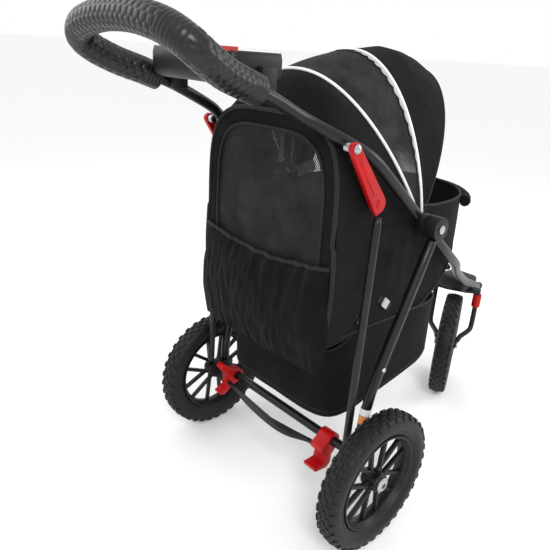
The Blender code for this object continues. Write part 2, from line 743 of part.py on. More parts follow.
def make_rear_legs():
    bracket_inner = LEG_X - BRACKET_THICKNESS / 2
    bracket_outer = LEG_X + BRACKET_THICKNESS / 2
    lift = AXLE_TUBE_Z - WHEEL_RADIUS
    bracket_top = 0.026
    outline = (arc((0, -lift), 0.018, 180, 350, 8)
               + [(0.058, 0.008), (0.058, bracket_top), (-0.018, bracket_top)])
    leg_foot = (LEG_X, 0.000, AXLE_TUBE_Z + bracket_top + GAP)
    strut_foot = (LEG_X, 0.045, AXLE_TUBE_Z + bracket_top + 2 * GAP)
    leg_top = from_hinge(LEG_X, leg_heading, HINGE_DISC_RADIUS + GAP)
    route = [leg_top, (LEG_X, *LEG_KNEE), (LEG_X, -0.003, AXLE_TUBE_Z + 0.090), leg_foot]
    for side, sign in sides:
        mirror = (lambda points: points) if sign > 0 else mirrored
        tube("rear_leg_" + side, mirror(smooth_path(route)), TUBE_RADIUS, "frame_black", rear_legs)
        tube("fold_strut_" + side, mirror([strut_foot, (LEG_X, *STRUT_TOP)]), STRUT_RADIUS,
             "frame_black", rear_legs)
        side_plate("axle_bracket_" + side, [outline], sign * bracket_inner, sign * bracket_outer,
                   "plastic_black", rear_legs, (0, AXLE_TUBE_Z))
        inner_hub = WHEEL_X - HUB_WIDTH / 2
        outer_hub = inner_hub + HUB_WIDTH + RUNNING_GAP
        stations = [(HUB_CAP_RADIUS * 0.7, outer_hub + HUB_CAP_THICKNESS),
                    (HUB_CAP_RADIUS, outer_hub + HUB_CAP_THICKNESS * 0.4), (HUB_CAP_RADIUS, outer_hub),
                    (AXLE_RADIUS, outer_hub), (AXLE_RADIUS, inner_hub - RUNNING_GAP),
                    (0.012, inner_hub - RUNNING_GAP), (0.012, bracket_outer + GAP)]
        solid_rod("stub_axle_" + side, stations, "steel", rear_legs, (0, 0, WHEEL_RADIUS),
                  (0, sign * math.pi / 2, 0), steps=20)
    end = bracket_inner - GAP
    tube("rear_axle_tube", [(-end, 0, AXLE_TUBE_Z), (end, 0, AXLE_TUBE_Z)], TUBE_RADIUS,
         "frame_black", rear_legs)


def make_brake():
    """Foot brake: red pedals on the axle tube, linked by a bent bar."""
    hub_hole = circle((0, 0), TUBE_RADIUS + GAP + 0.0002, 20)[::-1]
    sleeve = BRAKE_SLEEVE_RADIUS
    right_outline = (arc((0, 0), sleeve, 20, 200, 10)
                     + [(-0.012, -0.020), (0.004, -0.040), (0.006, -0.068), (0.020, -0.080),
                        (0.066, -0.074), (0.069, -0.062), (0.030, -0.060), (0.026, -0.036),
                        (0.042, -0.020), (0.042, -0.006)])
    left_outline = (arc((0, 0), sleeve, 90, 270, 10)
                    + [(0.020, -0.026), (0.052, -0.052), (0.068, -0.048), (0.070, -0.040),
                       (0.040, -0.026), (0.034, -0.006), (0.040, 0.014), (0.066, 0.044),
                       (0.062, 0.056), (0.048, 0.054), (0.022, 0.026)])
    side_plate("brake_pedal_right", [right_outline, hub_hole], -0.160, -0.126, "lever_red", brake,
               (0, AXLE_TUBE_Z))
    side_plate("brake_pedal_left", [left_outline, hub_hole], 0.172, 0.196, "lever_red", brake,
               (0, AXLE_TUBE_Z))
    ends = (-0.126 + GAP, 0.172 - GAP)
    middle = smooth_path([(ends[0] + 0.010, 0.031, 0.168), (-0.045, BRAKE_BAR_Y, BRAKE_BAR_Z),
                          (0.060, BRAKE_BAR_Y - 0.004, BRAKE_BAR_Z + 0.002), (ends[1] - 0.010, 0.031, 0.170)])
    path = [(ends[0], *middle[0][1:])] + middle + [(ends[1], *middle[-1][1:])]
    tube("brake_bar", path, BRAKE_BAR_RADIUS, "frame_black", brake)


# ---------------------------------------------------------------- wheels

def window(pair, spread, crossing, hub_edge, rim_edge):
    """Openings beside one crossed pair of spokes: a rim triangle and a wide one to the next pair."""
    centre = 360.0 * pair / SPOKE_PAIRS
    following = centre + 360.0 / SPOKE_PAIRS
    bar = 0.0045

    def polar(radius, angle):
        return radius * math.cos(math.radians(angle)), radius * math.sin(math.radians(angle))

    rim_bar = math.degrees(bar / rim_edge)
    hub_bar = math.degrees(bar / hub_edge)
    mid_bar = math.degrees(bar * 1.5 / crossing)
    triangle = [polar(rim_edge, centre - spread + rim_bar), polar(rim_edge, centre),
                polar(rim_edge, centre + spread - rim_bar), polar(crossing + bar * 2.2, centre)]
    wide = [polar(hub_edge, centre + hub_bar * 1.6), polar(crossing, centre + mid_bar),
            polar(rim_edge, centre + spread + rim_bar), polar(rim_edge, (centre + following) / 2),
            polar(rim_edge, following - spread - rim_bar), polar(crossing, following - mid_bar),
            polar(hub_edge, following - hub_bar * 1.6)]
    return triangle[::-1], wide[::-1]


def make_wheel(name, parent, location, turn):
    rim_radius = WHEEL_RADIUS - TYRE_DEPTH
    inner = rim_radius - RIM_DEPTH
    half = RIM_WIDTH / 2
    axis_turn = (0, math.pi / 2, turn)
    outlines = [circle((0, 0), inner + RIM_DEPTH / 2, WHEEL_STEPS)]
    for pair in range(SPOKE_PAIRS):
        outlines.extend(window(pair, 17.0, 0.058, HUB_RADIUS + 0.006, inner - 0.002))
    place = Vector(location) - rest_at(parent)
    rim = add(name + "_rim", outline_data(name + "_rim", outlines, SPOKE_THICKNESS), "plastic_black",
              parent, place, axis_turn)
    rim = paint(to_mesh(rim), "plastic_black")
    hoop = ring(name + "_hoop_tool", inner, rim_radius - GAP, -half, half, "plastic_black", parent,
                location, axis_turn, WHEEL_STEPS)
    hub = solid_rod(name + "_hub_tool", [(HUB_RADIUS, HUB_WIDTH / 2), (HUB_RADIUS, -HUB_WIDTH / 2)],
                    "plastic_black", parent, location, axis_turn)
    bore_radius = (AXLE_RADIUS + GAP) / math.cos(math.pi / 20)
    bore = solid_rod(name + "_bore_tool", [(bore_radius, HUB_WIDTH), (bore_radius, -HUB_WIDTH)],
                     "plastic_black", parent, location, axis_turn, steps=20)
    join_solids(rim, [hoop, hub], "UNION")
    join_solids(rim, [bore], "DIFFERENCE")

    wide = TYRE_WIDTH / 2
    crown = WHEEL_RADIUS
    profile = [(rim_radius, half - 0.002), (rim_radius + 0.020, wide), (crown - 0.010, wide - 0.0015),
               (crown - 0.001, wide - 0.011), (crown, 0.0)]
    below = [(radius, -height) for radius, height in profile[:-1]][::-1]
    turned(name + "_tyre", profile + below, "rubber_black", parent, location, axis_turn, WHEEL_STEPS,
           closed=True)


def make_rear_wheels():
    for side, sign in sides:
        hub = (sign * WHEEL_X, -HINGE_Y, WHEEL_RADIUS - HINGE_Z)
        spin = empty("rear_wheel_spin_" + side, hub, rear_legs)
        make_wheel("rear_wheel_" + side, spin, (sign * WHEEL_X, 0, WHEEL_RADIUS), 0.0)


# ---------------------------------------------------------------- caster

def make_caster():
    """Swivelling front fork; its parts are laid out straight and turned by the caster empty."""
    origin = rest_at(caster)
    crown_top = NOSE_BOTTOM - RUNNING_GAP - origin.z
    crown_bottom = crown_top - CROWN_THICKNESS
    half = FORK_HALF_WIDTH + FORK_TUBE_RADIUS
    outline = ([(half * x, y) for x, y in ((-1, -0.010), (-0.94, -0.017), (-0.45, -0.028), (0.45, -0.028),
                                           (0.94, -0.017), (1, -0.010), (1, 0.008), (0.90, 0.014),
                                           (0.40, 0.024), (-0.40, 0.024), (-0.90, 0.014), (-1, 0.008))])
    add("fork_crown", outline_data("fork_crown", [outline], CROWN_THICKNESS), "plastic_black", caster,
        (0, 0, (crown_top + crown_bottom) / 2))
    dropout_x = HUB_WIDTH / 2 + RUNNING_GAP + FORK_TUBE_RADIUS
    leg_top = crown_bottom - GAP
    route = [(FORK_HALF_WIDTH, -0.004, leg_top), (FORK_HALF_WIDTH, -0.004, leg_top - 0.045),
             (FORK_HALF_WIDTH, -0.003, 0.052), (FORK_HALF_WIDTH - 0.004, 0.008, 0.030),
             (dropout_x + 0.008, 0.034, 0.016), (dropout_x + 0.001, CASTER_TRAIL - 0.0138, 0.0058)]
    for side, sign in sides:
        path = smooth_path(route, 3) if sign > 0 else mirrored(smooth_path(route, 3))
        data = tube_data("fork_leg_" + side, path, FORK_TUBE_RADIUS)
        add("fork_leg_" + side, data, "frame_black", caster)
        tip = outline_data("fork_tip_" + side, [circle((CASTER_TRAIL, 0), 0.0135, 16),
                                                circle((CASTER_TRAIL, 0), AXLE_RADIUS + GAP, 16)[::-1]],
                           FORK_TUBE_RADIUS)
        add("fork_tip_" + side, tip, "plastic_black", caster,
            (sign * (dropout_x - FORK_TUBE_RADIUS / 2 + 0.0002), 0, 0), FACING_X)
    end = dropout_x + RUNNING_GAP
    stations = [(0.010, end + 0.005), (0.010, end), (AXLE_RADIUS, end), (AXLE_RADIUS, -end), (0.010, -end),
                (0.010, -end - 0.005)]
    axle = solid_rod("front_axle", stations, "steel", root, (0, 0, 0), (0, math.pi / 2, 0), steps=20)
    axle.parent = caster
    axle.location = (0, CASTER_TRAIL, 0)

    lock = ring("swivel_lock", (FORK_TUBE_RADIUS + RUNNING_GAP) / math.cos(math.pi / 20), 0.0125,
                -0.040, 0.0, "lever_red", root, (0, 0, 0), (0, 0, 0), steps=20)
    lock.parent = caster
    lock.location = (-FORK_HALF_WIDTH, -0.004, leg_top - 0.0065)

    spin = empty("front_wheel_spin", (0, CASTER_TRAIL, 0), caster)
    make_wheel("front_wheel", spin, rest_at(spin), 0.0)


make_front_tubes()
make_hinges()
make_nose()
make_cross_bar()
make_cabin()
make_basket()
make_canopy()
make_handle()
make_fold_levers()
make_tray()
make_rear_legs()
make_brake()
make_rear_wheels()
make_caster()
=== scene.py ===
import json
import math

import bmesh
import bpy
from mathutils import Matrix, Vector, noise


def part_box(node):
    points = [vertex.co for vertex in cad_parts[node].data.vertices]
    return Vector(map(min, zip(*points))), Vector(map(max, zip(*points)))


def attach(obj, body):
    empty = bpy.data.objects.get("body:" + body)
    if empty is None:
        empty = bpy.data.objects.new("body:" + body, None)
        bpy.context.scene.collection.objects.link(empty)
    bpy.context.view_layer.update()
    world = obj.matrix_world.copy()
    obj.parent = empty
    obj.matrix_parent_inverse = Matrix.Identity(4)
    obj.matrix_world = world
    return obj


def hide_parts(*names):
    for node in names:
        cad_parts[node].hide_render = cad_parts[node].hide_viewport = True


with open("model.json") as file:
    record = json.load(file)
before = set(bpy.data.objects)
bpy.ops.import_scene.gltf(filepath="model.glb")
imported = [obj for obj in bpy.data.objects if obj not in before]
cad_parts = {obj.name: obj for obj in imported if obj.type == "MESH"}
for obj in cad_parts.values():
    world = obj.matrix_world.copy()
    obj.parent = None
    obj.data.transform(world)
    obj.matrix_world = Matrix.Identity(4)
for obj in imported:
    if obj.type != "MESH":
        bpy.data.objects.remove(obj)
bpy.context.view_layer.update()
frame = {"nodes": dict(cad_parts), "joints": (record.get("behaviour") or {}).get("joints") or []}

joints = {joint["name"]: joint for joint in frame["joints"]}
hinge = Vector(joints["handle_fold"]["pos_m"])
brakeAxis = Vector(joints["brake_pivot"]["pos_m"])
sides = (("left", 1), ("right", -1))


# small tools

def deselect():
    for thing in bpy.context.selected_objects:
        thing.select_set(False)


def pick(thing):
    deselect()
    thing.select_set(True)
    bpy.context.view_layer.objects.active = thing
    return thing


def bakePlace(thing):
    pick(thing)
    bpy.ops.object.transform_apply(location=True, rotation=True, scale=True)
    return thing


def applyAll(thing):
    pick(thing)
    for step in list(thing.modifiers):
        bpy.ops.object.modifier_apply(modifier=step.name)
    return thing


def newest(name):
    thing = bpy.context.active_object
    thing.name = name
    thing.data.name = name
    return thing


def smooth(thing, angle=40):
    pick(thing)
    bpy.ops.object.shade_smooth_by_angle(angle=math.radians(angle))
    return thing


def bevelled(thing, width, segments=2, angle=35):
    step = thing.modifiers.new("edges", "BEVEL")
    step.width = width
    step.segments = segments
    step.limit_method = "ANGLE"
    step.angle_limit = math.radians(angle)
    step.harden_normals = False
    return applyAll(thing)


def subdivided(thing, levels=1):
    step = thing.modifiers.new("round", "SUBSURF")
    step.levels = levels
    step.render_levels = levels
    return applyAll(thing)


def thickened(thing, thickness, offset=0.0):
    step = thing.modifiers.new("wall", "SOLIDIFY")
    step.thickness = thickness
    step.offset = offset
    return applyAll(thing)


def joined(name, things):
    deselect()
    for thing in things:
        thing.select_set(True)
    bpy.context.view_layer.objects.active = things[0]
    if len(things) > 1:
        bpy.ops.object.join()
    return newest(name)


def cube(name, centre, size, turn=(0, 0, 0), bevel=0.0, segments=2):
    deselect()
    bpy.ops.mesh.primitive_cube_add(size=1, location=centre, rotation=turn)
    thing = newest(name)
    thing.scale = size
    bakePlace(thing)
    return bevelled(thing, bevel, segments) if bevel else thing


def cylinder(name, centre, radius, depth, turn=(0, math.pi / 2, 0), corners=40, bevel=0.0, segments=2):
    deselect()
    bpy.ops.mesh.primitive_cylinder_add(vertices=corners, radius=radius, depth=depth, location=centre,
                                        rotation=turn)
    thing = bakePlace(newest(name))
    return bevelled(thing, bevel, segments) if bevel else thing


def sheetFrom(name, shape, across, along):
    # a grid whose corners are moved to shape(u, v); its UV map keeps u and v
    deselect()
    bpy.ops.mesh.primitive_grid_add(x_subdivisions=across, y_subdivisions=along, size=2)
    thing = newest(name)
    for corner in thing.data.vertices:
        u, v = (corner.co.x + 1) / 2, (corner.co.y + 1) / 2
        corner.co = shape(u, v)
    thing.data.update()
    return thing


def smoothPath(points, steps=6):
    line = [2 * Vector(points[0]) - Vector(points[1])] + [Vector(point) for point in points]
    line.append(2 * line[-1] - line[-2])
    path = []
    for start in range(1, len(line) - 2):
        before, here, after, beyond = line[start - 1:start + 3]
        for step in range(steps):
            t = step / steps
            path.append(0.5 * (2 * here + (after - before) * t
                               + (2 * before - 5 * here + 4 * after - beyond) * t * t
                               + (3 * here - before - 3 * after + beyond) * t ** 3))
    path.append(line[-2])
    return path


def tubeAlong(name, points, radius, closed=False, sides=14, caps=True):
    curve = bpy.data.curves.new(name, "CURVE")
    curve.dimensions = "3D"
    curve.bevel_depth = radius
    curve.bevel_resolution = max(0, sides // 2 - 2)
    curve.use_fill_caps = caps and not closed
    line = curve.splines.new("POLY")
    line.points.add(len(points) - 1)
    for point, place in zip(line.points, points):
        point.co = (*place, 1)
    line.use_cyclic_u = closed
    thing = bpy.data.objects.new(name, curve)
    bpy.context.scene.collection.objects.link(thing)
    pick(thing)
    bpy.ops.object.convert(target="MESH")
    thing = newest(name)
    bpy.ops.object.mode_set(mode="EDIT")
    bpy.ops.mesh.select_all(action="SELECT")
    bpy.ops.mesh.remove_doubles(threshold=0.00001)
    bpy.ops.mesh.normals_make_consistent(inside=False)
    bpy.ops.object.mode_set(mode="OBJECT")
    return smooth(thing, 50)


def spun(name, profile, centre, axis=(1, 0, 0), steps=96, closed=True):
    # an outline in (radius, along the axis), spun round the axis through the centre
    axis = Vector(axis).normalized()
    outward = axis.cross(Vector((0, 0, 1))).normalized() if abs(axis.z) < 0.9 else Vector((1, 0, 0))
    mesh = bpy.data.meshes.new(name)
    corners = [Vector(centre) + outward * radius + axis * along for radius, along in profile]
    edges = [(i, i + 1) for i in range(len(corners) - 1)]
    if closed:
        edges.append((len(corners) - 1, 0))
    mesh.from_pydata(corners, edges, [])
    thing = bpy.data.objects.new(name, mesh)
    bpy.context.scene.collection.objects.link(thing)
    pick(thing)
    bpy.ops.object.mode_set(mode="EDIT")
    bpy.ops.mesh.select_all(action="SELECT")
    bpy.ops.mesh.spin(steps=steps, angle=2 * math.pi, center=centre, axis=axis)
    bpy.ops.mesh.select_all(action="SELECT")
    bpy.ops.mesh.remove_doubles(threshold=0.00002)
    bpy.ops.mesh.normals_make_consistent(inside=False)
    bpy.ops.object.mode_set(mode="OBJECT")
    return thing


def copyOf(node, name):
    # a merged copy of a CAD node's own shape, with its triangles made into larger faces
    source = frame["nodes"][node]
    thing = bpy.data.objects.new(name, source.data.copy())
    bpy.context.scene.collection.objects.link(thing)
    thing.data.materials.clear()
    pick(thing)
    bpy.ops.object.mode_set(mode="EDIT")
    bpy.ops.mesh.select_all(action="SELECT")
    bpy.ops.mesh.remove_doubles(threshold=0.00001)
    bpy.ops.mesh.dissolve_limited(angle_limit=math.radians(1.0))
    bpy.ops.object.mode_set(mode="OBJECT")
    return thing


def softTube(node, name, fatten=0.0, levels=2):
    # a faceted CAD tube made round: end rims creased, then subdivided
    thing = copyOf(node, name)
    work = bmesh.new()
    work.from_mesh(thing.data)
    crease = work.edges.layers.float.new("crease_edge")
    for edge in work.edges:
        if len(edge.link_faces) == 2 and edge.calc_face_angle() > math.radians(62):
            edge[crease] = 0.9
    work.to_mesh(thing.data)
    work.free()
    if fatten:
        pick(thing)
        bpy.ops.object.mode_set(mode="EDIT")
        bpy.ops.mesh.select_all(action="SELECT")
        bpy.ops.transform.shrink_fatten(value=fatten)
        bpy.ops.object.mode_set(mode="OBJECT")
    return smooth(subdivided(thing, levels), 50)


def ready(thing, body, finish, slot, *nodes):
    # the last step of each piece: its body, material and the CAD nodes that it stands for
    thing.data.materials.clear()
    thing.data.materials.append(finish)
    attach(thing, body)
    if nodes:
        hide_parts(*nodes)
    return thing


def ripple(place, scale, depth, seed=0.0):
    return depth * noise.noise(Vector(place) * scale + Vector((seed, seed * 1.7, seed * 0.3)))


# materials

class Wire:
    def __init__(self, graph, socket):
        self.graph = graph
        self.socket = socket

    def joinedBy(self, operation, first, second):
        return self.graph.add("ShaderNodeMath", {"operation": operation}, {0: first, 1: second})

    def __add__(self, other):
        return self.joinedBy("ADD", self, other)

    def __radd__(self, other):
        return self.joinedBy("ADD", other, self)

    def __sub__(self, other):
        return self.joinedBy("SUBTRACT", self, other)

    def __rsub__(self, other):
        return self.joinedBy("SUBTRACT", other, self)

    def __mul__(self, other):
        return self.joinedBy("MULTIPLY", self, other)

    def __rmul__(self, other):
        return self.joinedBy("MULTIPLY", other, self)

    def __gt__(self, other):
        return self.joinedBy("GREATER_THAN", self, other)


class Graph:
    # one material with a Principled shader
    def __init__(self, name, colour, roughness, metallic=0.0, **constants):
        self.material = bpy.data.materials.new(name)
        self.material.use_nodes = True
        self.nodes = self.material.node_tree.nodes
        self.links = self.material.node_tree.links
        self.shader = self.nodes["Principled BSDF"]
        self.shader.inputs["Base Color"].default_value = (*colour, 1)
        self.shader.inputs["Roughness"].default_value = roughness
        self.shader.inputs["Metallic"].default_value = metallic
        for socket, value in constants.items():
            self.shader.inputs[socket.replace("_", " ")].default_value = value

    def add(self, kind, settings, inputs, output=0):
        node = self.nodes.new(kind)
        for key, value in settings.items():
            if key == "stops":
                for i, (position, tone) in enumerate(value):
                    stop = node.color_ramp.elements[i] if i < 2 else node.color_ramp.elements.new(position)
                    stop.position = position
                    stop.color = (*tone, 1)
            else:
                setattr(node, key, value)
        for key, value in inputs.items():
            if isinstance(value, Wire):
                self.links.new(value.socket, node.inputs[key])
            else:
                node.inputs[key].default_value = value
        return Wire(self, node.outputs[output])

    def feed(self, socket, wire):
        self.links.new(wire.socket, self.shader.inputs[socket])
        return self

    def place(self, kind="Object"):
        return self.add("ShaderNodeTexCoord", {}, {}, kind)

    def axes(self, place):
        split = self.nodes.new("ShaderNodeSeparateXYZ")
        self.links.new(place.socket, split.inputs[0])
        return [Wire(self, split.outputs[i]) for i in range(3)]

    def grain(self, scale, detail=2.0, place=None):
        where = place or self.place()
        return self.add("ShaderNodeTexNoise", {}, {"Vector": where, "Scale": scale, "Detail": detail}, 0)

    def wave(self, value, count):
        return self.add("ShaderNodeMath", {"operation": "SINE"}, {0: value * (2 * math.pi * count)})

    def tone(self, factor, dark, light):
        stops = [(0.25, dark), (0.75, light)]
        return self.add("ShaderNodeValToRGB", {"stops": stops}, {"Fac": factor})

    def bump(self, height, depth, strength=0.6):
        wire = self.add("ShaderNodeBump", {}, {"Height": height, "Distance": depth, "Strength": strength})
        return self.feed("Normal", wire)


def wovenFabric(name, dark, light, roughness=0.88, thread=0.0012, depth=0.00025, gloss=0.12):
    graph = Graph(name, dark, roughness, Sheen_Weight=0.02, Sheen_Roughness=0.4, Specular_IOR_Level=gloss)
    x, y, z = graph.axes(graph.place())
    threads = 1.0 / thread
    weave = graph.wave(x, threads) + graph.wave(y, threads) + graph.wave(z, threads)
    cloudy = graph.grain(14.0, 4.0)
    graph.feed("Base Color", graph.tone(cloudy + weave * 0.06, dark, light))
    graph.feed("Roughness", roughness - 0.08 + graph.grain(60.0) * 0.16)
    graph.bump(weave * 0.5 + graph.grain(180.0) * 1.2, depth)
    return graph.material


def openMesh(name, dark, light, cells, cover=0.25, clear=0.9):
    # knitted netting: small holes laid out on the piece's own UV map
    graph = Graph(name, dark, 0.7, Specular_IOR_Level=0.2)
    u, v, _ = graph.axes(graph.place("UV"))
    cell = graph.wave(u, cells[0]) * graph.wave(v, cells[1])
    hole = cell > cover
    graph.feed("Alpha", 1.0 - hole * clear)
    graph.feed("Base Color", graph.tone(graph.grain(30.0, 3.0), dark, light))
    graph.bump(cell, 0.0003)
    return graph.material


def makeFinishes():
    made = {}
    made["fabric"] = wovenFabric("blackPolyester", (0.0022, 0.0022, 0.0026), (0.0070, 0.0070, 0.0078))
    made["lining"] = wovenFabric("greyLining", (0.020, 0.020, 0.022), (0.045, 0.045, 0.048), thread=0.002)
    made["plush"] = wovenFabric("greyPlush", (0.030, 0.030, 0.033), (0.070, 0.070, 0.075), 0.95, 0.003,
                                0.0008)
    made["binding"] = wovenFabric("blackBinding", (0.0045, 0.0045, 0.0045), (0.011, 0.011, 0.012), 0.7,
                                  0.0009, gloss=0.3)
    made["webbing"] = wovenFabric("greyWebbing", (0.30, 0.30, 0.30), (0.48, 0.48, 0.47), 0.8, 0.0016)
    made["canopyMesh"] = openMesh("canopyMesh", (0.006, 0.006, 0.007), (0.028, 0.028, 0.030), (190, 34),
                                  0.45)
    made["windowMesh"] = openMesh("windowMesh", (0.008, 0.008, 0.009), (0.030, 0.030, 0.032), (64, 78),
                                  0.16, 1.0)

    graph = Graph("satinPaint", (0.004, 0.004, 0.0045), 0.32, Specular_IOR_Level=0.35)
    graph.feed("Roughness", 0.27 + graph.grain(90.0, 3.0) * 0.14)
    graph.feed("Base Color", graph.tone(graph.grain(25.0), (0.0025, 0.0025, 0.003), (0.006, 0.006, 0.0065)))
    graph.bump(graph.grain(900.0), 0.00004, 0.4)
    made["paint"] = graph.material

    graph = Graph("mouldedPlastic", (0.006, 0.006, 0.006), 0.45, Specular_IOR_Level=0.28)
    graph.feed("Roughness", 0.38 + graph.grain(40.0, 3.0) * 0.18)
    cloudy = graph.grain(12.0, 3.0)
    graph.feed("Base Color", graph.tone(cloudy, (0.0035, 0.0035, 0.004), (0.009, 0.009, 0.0095)))
    graph.bump(graph.grain(1400.0), 0.00006, 0.5)
    made["plastic"] = graph.material

    graph = Graph("tyreRubber", (0.006, 0.006, 0.006), 0.6, Specular_IOR_Level=0.28)
    dust = graph.grain(22.0, 4.0)
    graph.feed("Base Color", graph.tone(dust, (0.0035, 0.0035, 0.0035), (0.011, 0.0105, 0.010)))
    graph.feed("Roughness", 0.42 + dust * 0.25)
    graph.bump(graph.grain(500.0, 3.0), 0.00012)
    made["rubber"] = graph.material

    graph = Graph("embossedFoam", (0.005, 0.005, 0.005), 0.4, Specular_IOR_Level=0.4)
    graph.feed("Roughness", 0.26 + graph.grain(120.0) * 0.2)
    graph.feed("Base Color", graph.tone(graph.grain(35.0, 3.0), (0.003, 0.003, 0.003), (0.008, 0.008, 0.008)))
    graph.bump(graph.grain(700.0, 2.0), 0.0001)
    made["foam"] = graph.material

    graph = Graph("redPlastic", (0.42, 0.003, 0.005), 0.38, Specular_IOR_Level=0.25)
    graph.feed("Base Color", graph.tone(graph.grain(30.0, 3.0), (0.34, 0.0015, 0.003), (0.46, 0.003, 0.005)))
    graph.feed("Roughness", 0.32 + graph.grain(60.0) * 0.14)
    graph.bump(graph.grain(900.0), 0.00005, 0.5)
    made["red"] = graph.material

    graph = Graph("zincSteel", (0.46, 0.46, 0.47), 0.30, 1.0)
    graph.feed("Roughness", 0.22 + graph.grain(150.0, 4.0) * 0.2)
    graph.bump(graph.grain(400.0), 0.00003, 0.4)
    made["steel"] = graph.material

    graph = Graph("whitePiping", (0.80, 0.80, 0.80), 0.55, Emission_Strength=0.0)
    graph.feed("Base Color", graph.tone(graph.grain(80.0), (0.72, 0.72, 0.73), (0.86, 0.86, 0.86)))
    graph.bump(graph.grain(1200.0), 0.0001)
    made["piping"] = graph.material

    graph = Graph("labelRed", (0.62, 0.02, 0.02), 0.5)
    graph.feed("Base Color", graph.tone(graph.grain(60.0), (0.55, 0.015, 0.015), (0.68, 0.03, 0.03)))
    graph.bump(graph.grain(800.0), 0.00004)
    made["labelRed"] = graph.material

    graph = Graph("labelOrange", (0.75, 0.25, 0.07), 0.5)
    graph.feed("Base Color", graph.tone(graph.grain(60.0), (0.68, 0.20, 0.05), (0.80, 0.30, 0.09)))
    graph.bump(graph.grain(800.0), 0.00004)
    made["labelOrange"] = graph.material
    return made


finishes = makeFinishes()
print("materials ready")


# camera, light and floor

studio = {
    "cameraPlace": (-0.804, 1.0082, 0.962),
    "cameraYaw": 133.4, "cameraPitch": -21.6, "cameraRoll": 3.6,
    "lens": 37.6,
    "floorTone": (0.93, 0.93, 0.93),
    "skyStrength": 1.0,
    "lights": (("keyLight", (-1.9, 1.6, 2.4), 42, 0.9), ("fillLight", (2.2, 1.2, 1.8), 18, 2.0),
               ("frontLight", (-1.6, -2.2, 1.8), 24, 1.2)),
}


def makeStudio():
    yaw, pitch, roll = (math.radians(studio[key]) for key in ("cameraYaw", "cameraPitch", "cameraRoll"))
    ahead = Vector((math.sin(yaw) * math.cos(pitch), math.cos(yaw) * math.cos(pitch), math.sin(pitch)))
    level = ahead.cross(Vector((0, 0, 1))).normalized()
    upright = level.cross(ahead)
    right = math.cos(roll) * level + math.sin(roll) * upright
    up = right.cross(ahead)
    camera = bpy.data.objects.new("camera", bpy.data.cameras.new("camera"))
    camera.data.lens = studio["lens"]
    camera.data.sensor_width = 36
    camera.data.clip_start = 0.05
    facing = Matrix((right, up, -ahead)).transposed().to_4x4()
    camera.matrix_world = Matrix.Translation(studio["cameraPlace"]) @ facing
    bpy.context.scene.collection.objects.link(camera)
    bpy.context.scene.camera = camera

    deselect()
    bpy.ops.mesh.primitive_plane_add(size=400, location=(0, 0, 0))
    floor = newest("studioFloor")
    graph = Graph("paleFloor", studio["floorTone"], 0.9)
    floor.data.materials.append(graph.material)

    world = bpy.data.worlds.new("studio")
    world.use_nodes = True
    world.node_tree.nodes["Background"].inputs["Color"].default_value = (1, 1, 1, 1)
    world.node_tree.nodes["Background"].inputs["Strength"].default_value = studio["skyStrength"]
    bpy.context.scene.world = world
    for name, place, power, size in studio["lights"]:
        light = bpy.data.objects.new(name, bpy.data.lights.new(name, "AREA"))
        light.data.energy = power
        light.data.size = size
        light.location = place
        light.rotation_euler = (Vector((0, 0, 0.5)) - Vector(place)).to_track_quat("-Z", "Y").to_euler()
        bpy.context.scene.collection.objects.link(light)


makeStudio()
bpy.context.scene.view_settings.view_transform = "Standard"
print("studio ready")


# wheels

tyre = {
    "knobRows": 36,
    "carcassDrop": 0.0022,     # how far the carcass lies under the knobs
    "knobSink": 0.003, "knobBevel": 0.0011,
    # size across and along the tread, then place across it and lean
    "middleKnob": (0.0095, 0.0125),
    "innerKnob": (0.0085, 0.0120), "innerPlace": 0.0092, "innerLean": 0.12, "innerDrop": 0.0010,
    "outerKnob": (0.0105, 0.0120), "outerShare": 0.76, "outerLean": 0.85, "outerDrop": 0.0045,
}
rim = {
    "pairs": 6, "spokeWidth": 0.0085, "spokeDepth": 0.0105,
    "hubSpread": 15.0, "rimSpread": 17.0,      # degrees either side of a pair's middle
    "hubRadius": 0.021, "hoopSteps": 96,
}


def makeTyreShape(radius, width, rimRadius):
    half = width / 2
    carcass = radius - tyre["carcassDrop"]
    sidewall = ((0.0, 0.55), (0.004, 0.70), (0.010, 0.86), (0.0125, 0.93), (0.0135, 0.90), (0.0185, 0.97),
                (0.0195, 0.985), (0.026, 0.97))
    shoulder = ((0.0085, 0.90), (0.0035, 0.70), (0.0010, 0.42), (0.0, 0.0))
    outline = [(rimRadius + out, half * share) for out, share in sidewall]
    outline += [(carcass - under, half * share) for under, share in shoulder]
    outline += [(reach, -along) for reach, along in outline[:-1]][::-1]
    body = spun("tyreBody", outline, (0, 0, 0), steps=108)
    knobs = []
    rows = tyre["knobRows"]

    def knob(angle, along, lean, size, reach):
        block = cube("knob", (0, 0, 0), size, bevel=tyre["knobBevel"], segments=1)
        seat = Matrix.Translation((along, 0, reach)) @ Matrix.Rotation(lean, 4, "Y")
        block.data.transform(Matrix.Rotation(angle, 4, "X") @ seat)
        return block

    shift = math.pi / rows
    height = tyre["carcassDrop"] + tyre["knobSink"]
    top = radius - height / 2
    for row in range(rows):
        angle = 2 * math.pi * row / rows
        knobs.append(knob(angle, 0.0, 0, (*tyre["middleKnob"], height), top))
        for sign in (1, -1):
            knobs.append(knob(angle + shift, sign * tyre["innerPlace"], sign * tyre["innerLean"],
                              (*tyre["innerKnob"], height), top - tyre["innerDrop"]))
            knobs.append(knob(angle, sign * half * tyre["outerShare"], sign * tyre["outerLean"],
                              (*tyre["outerKnob"], height), carcass - tyre["outerDrop"]))
    return joined("tyreShape", [body] + knobs)


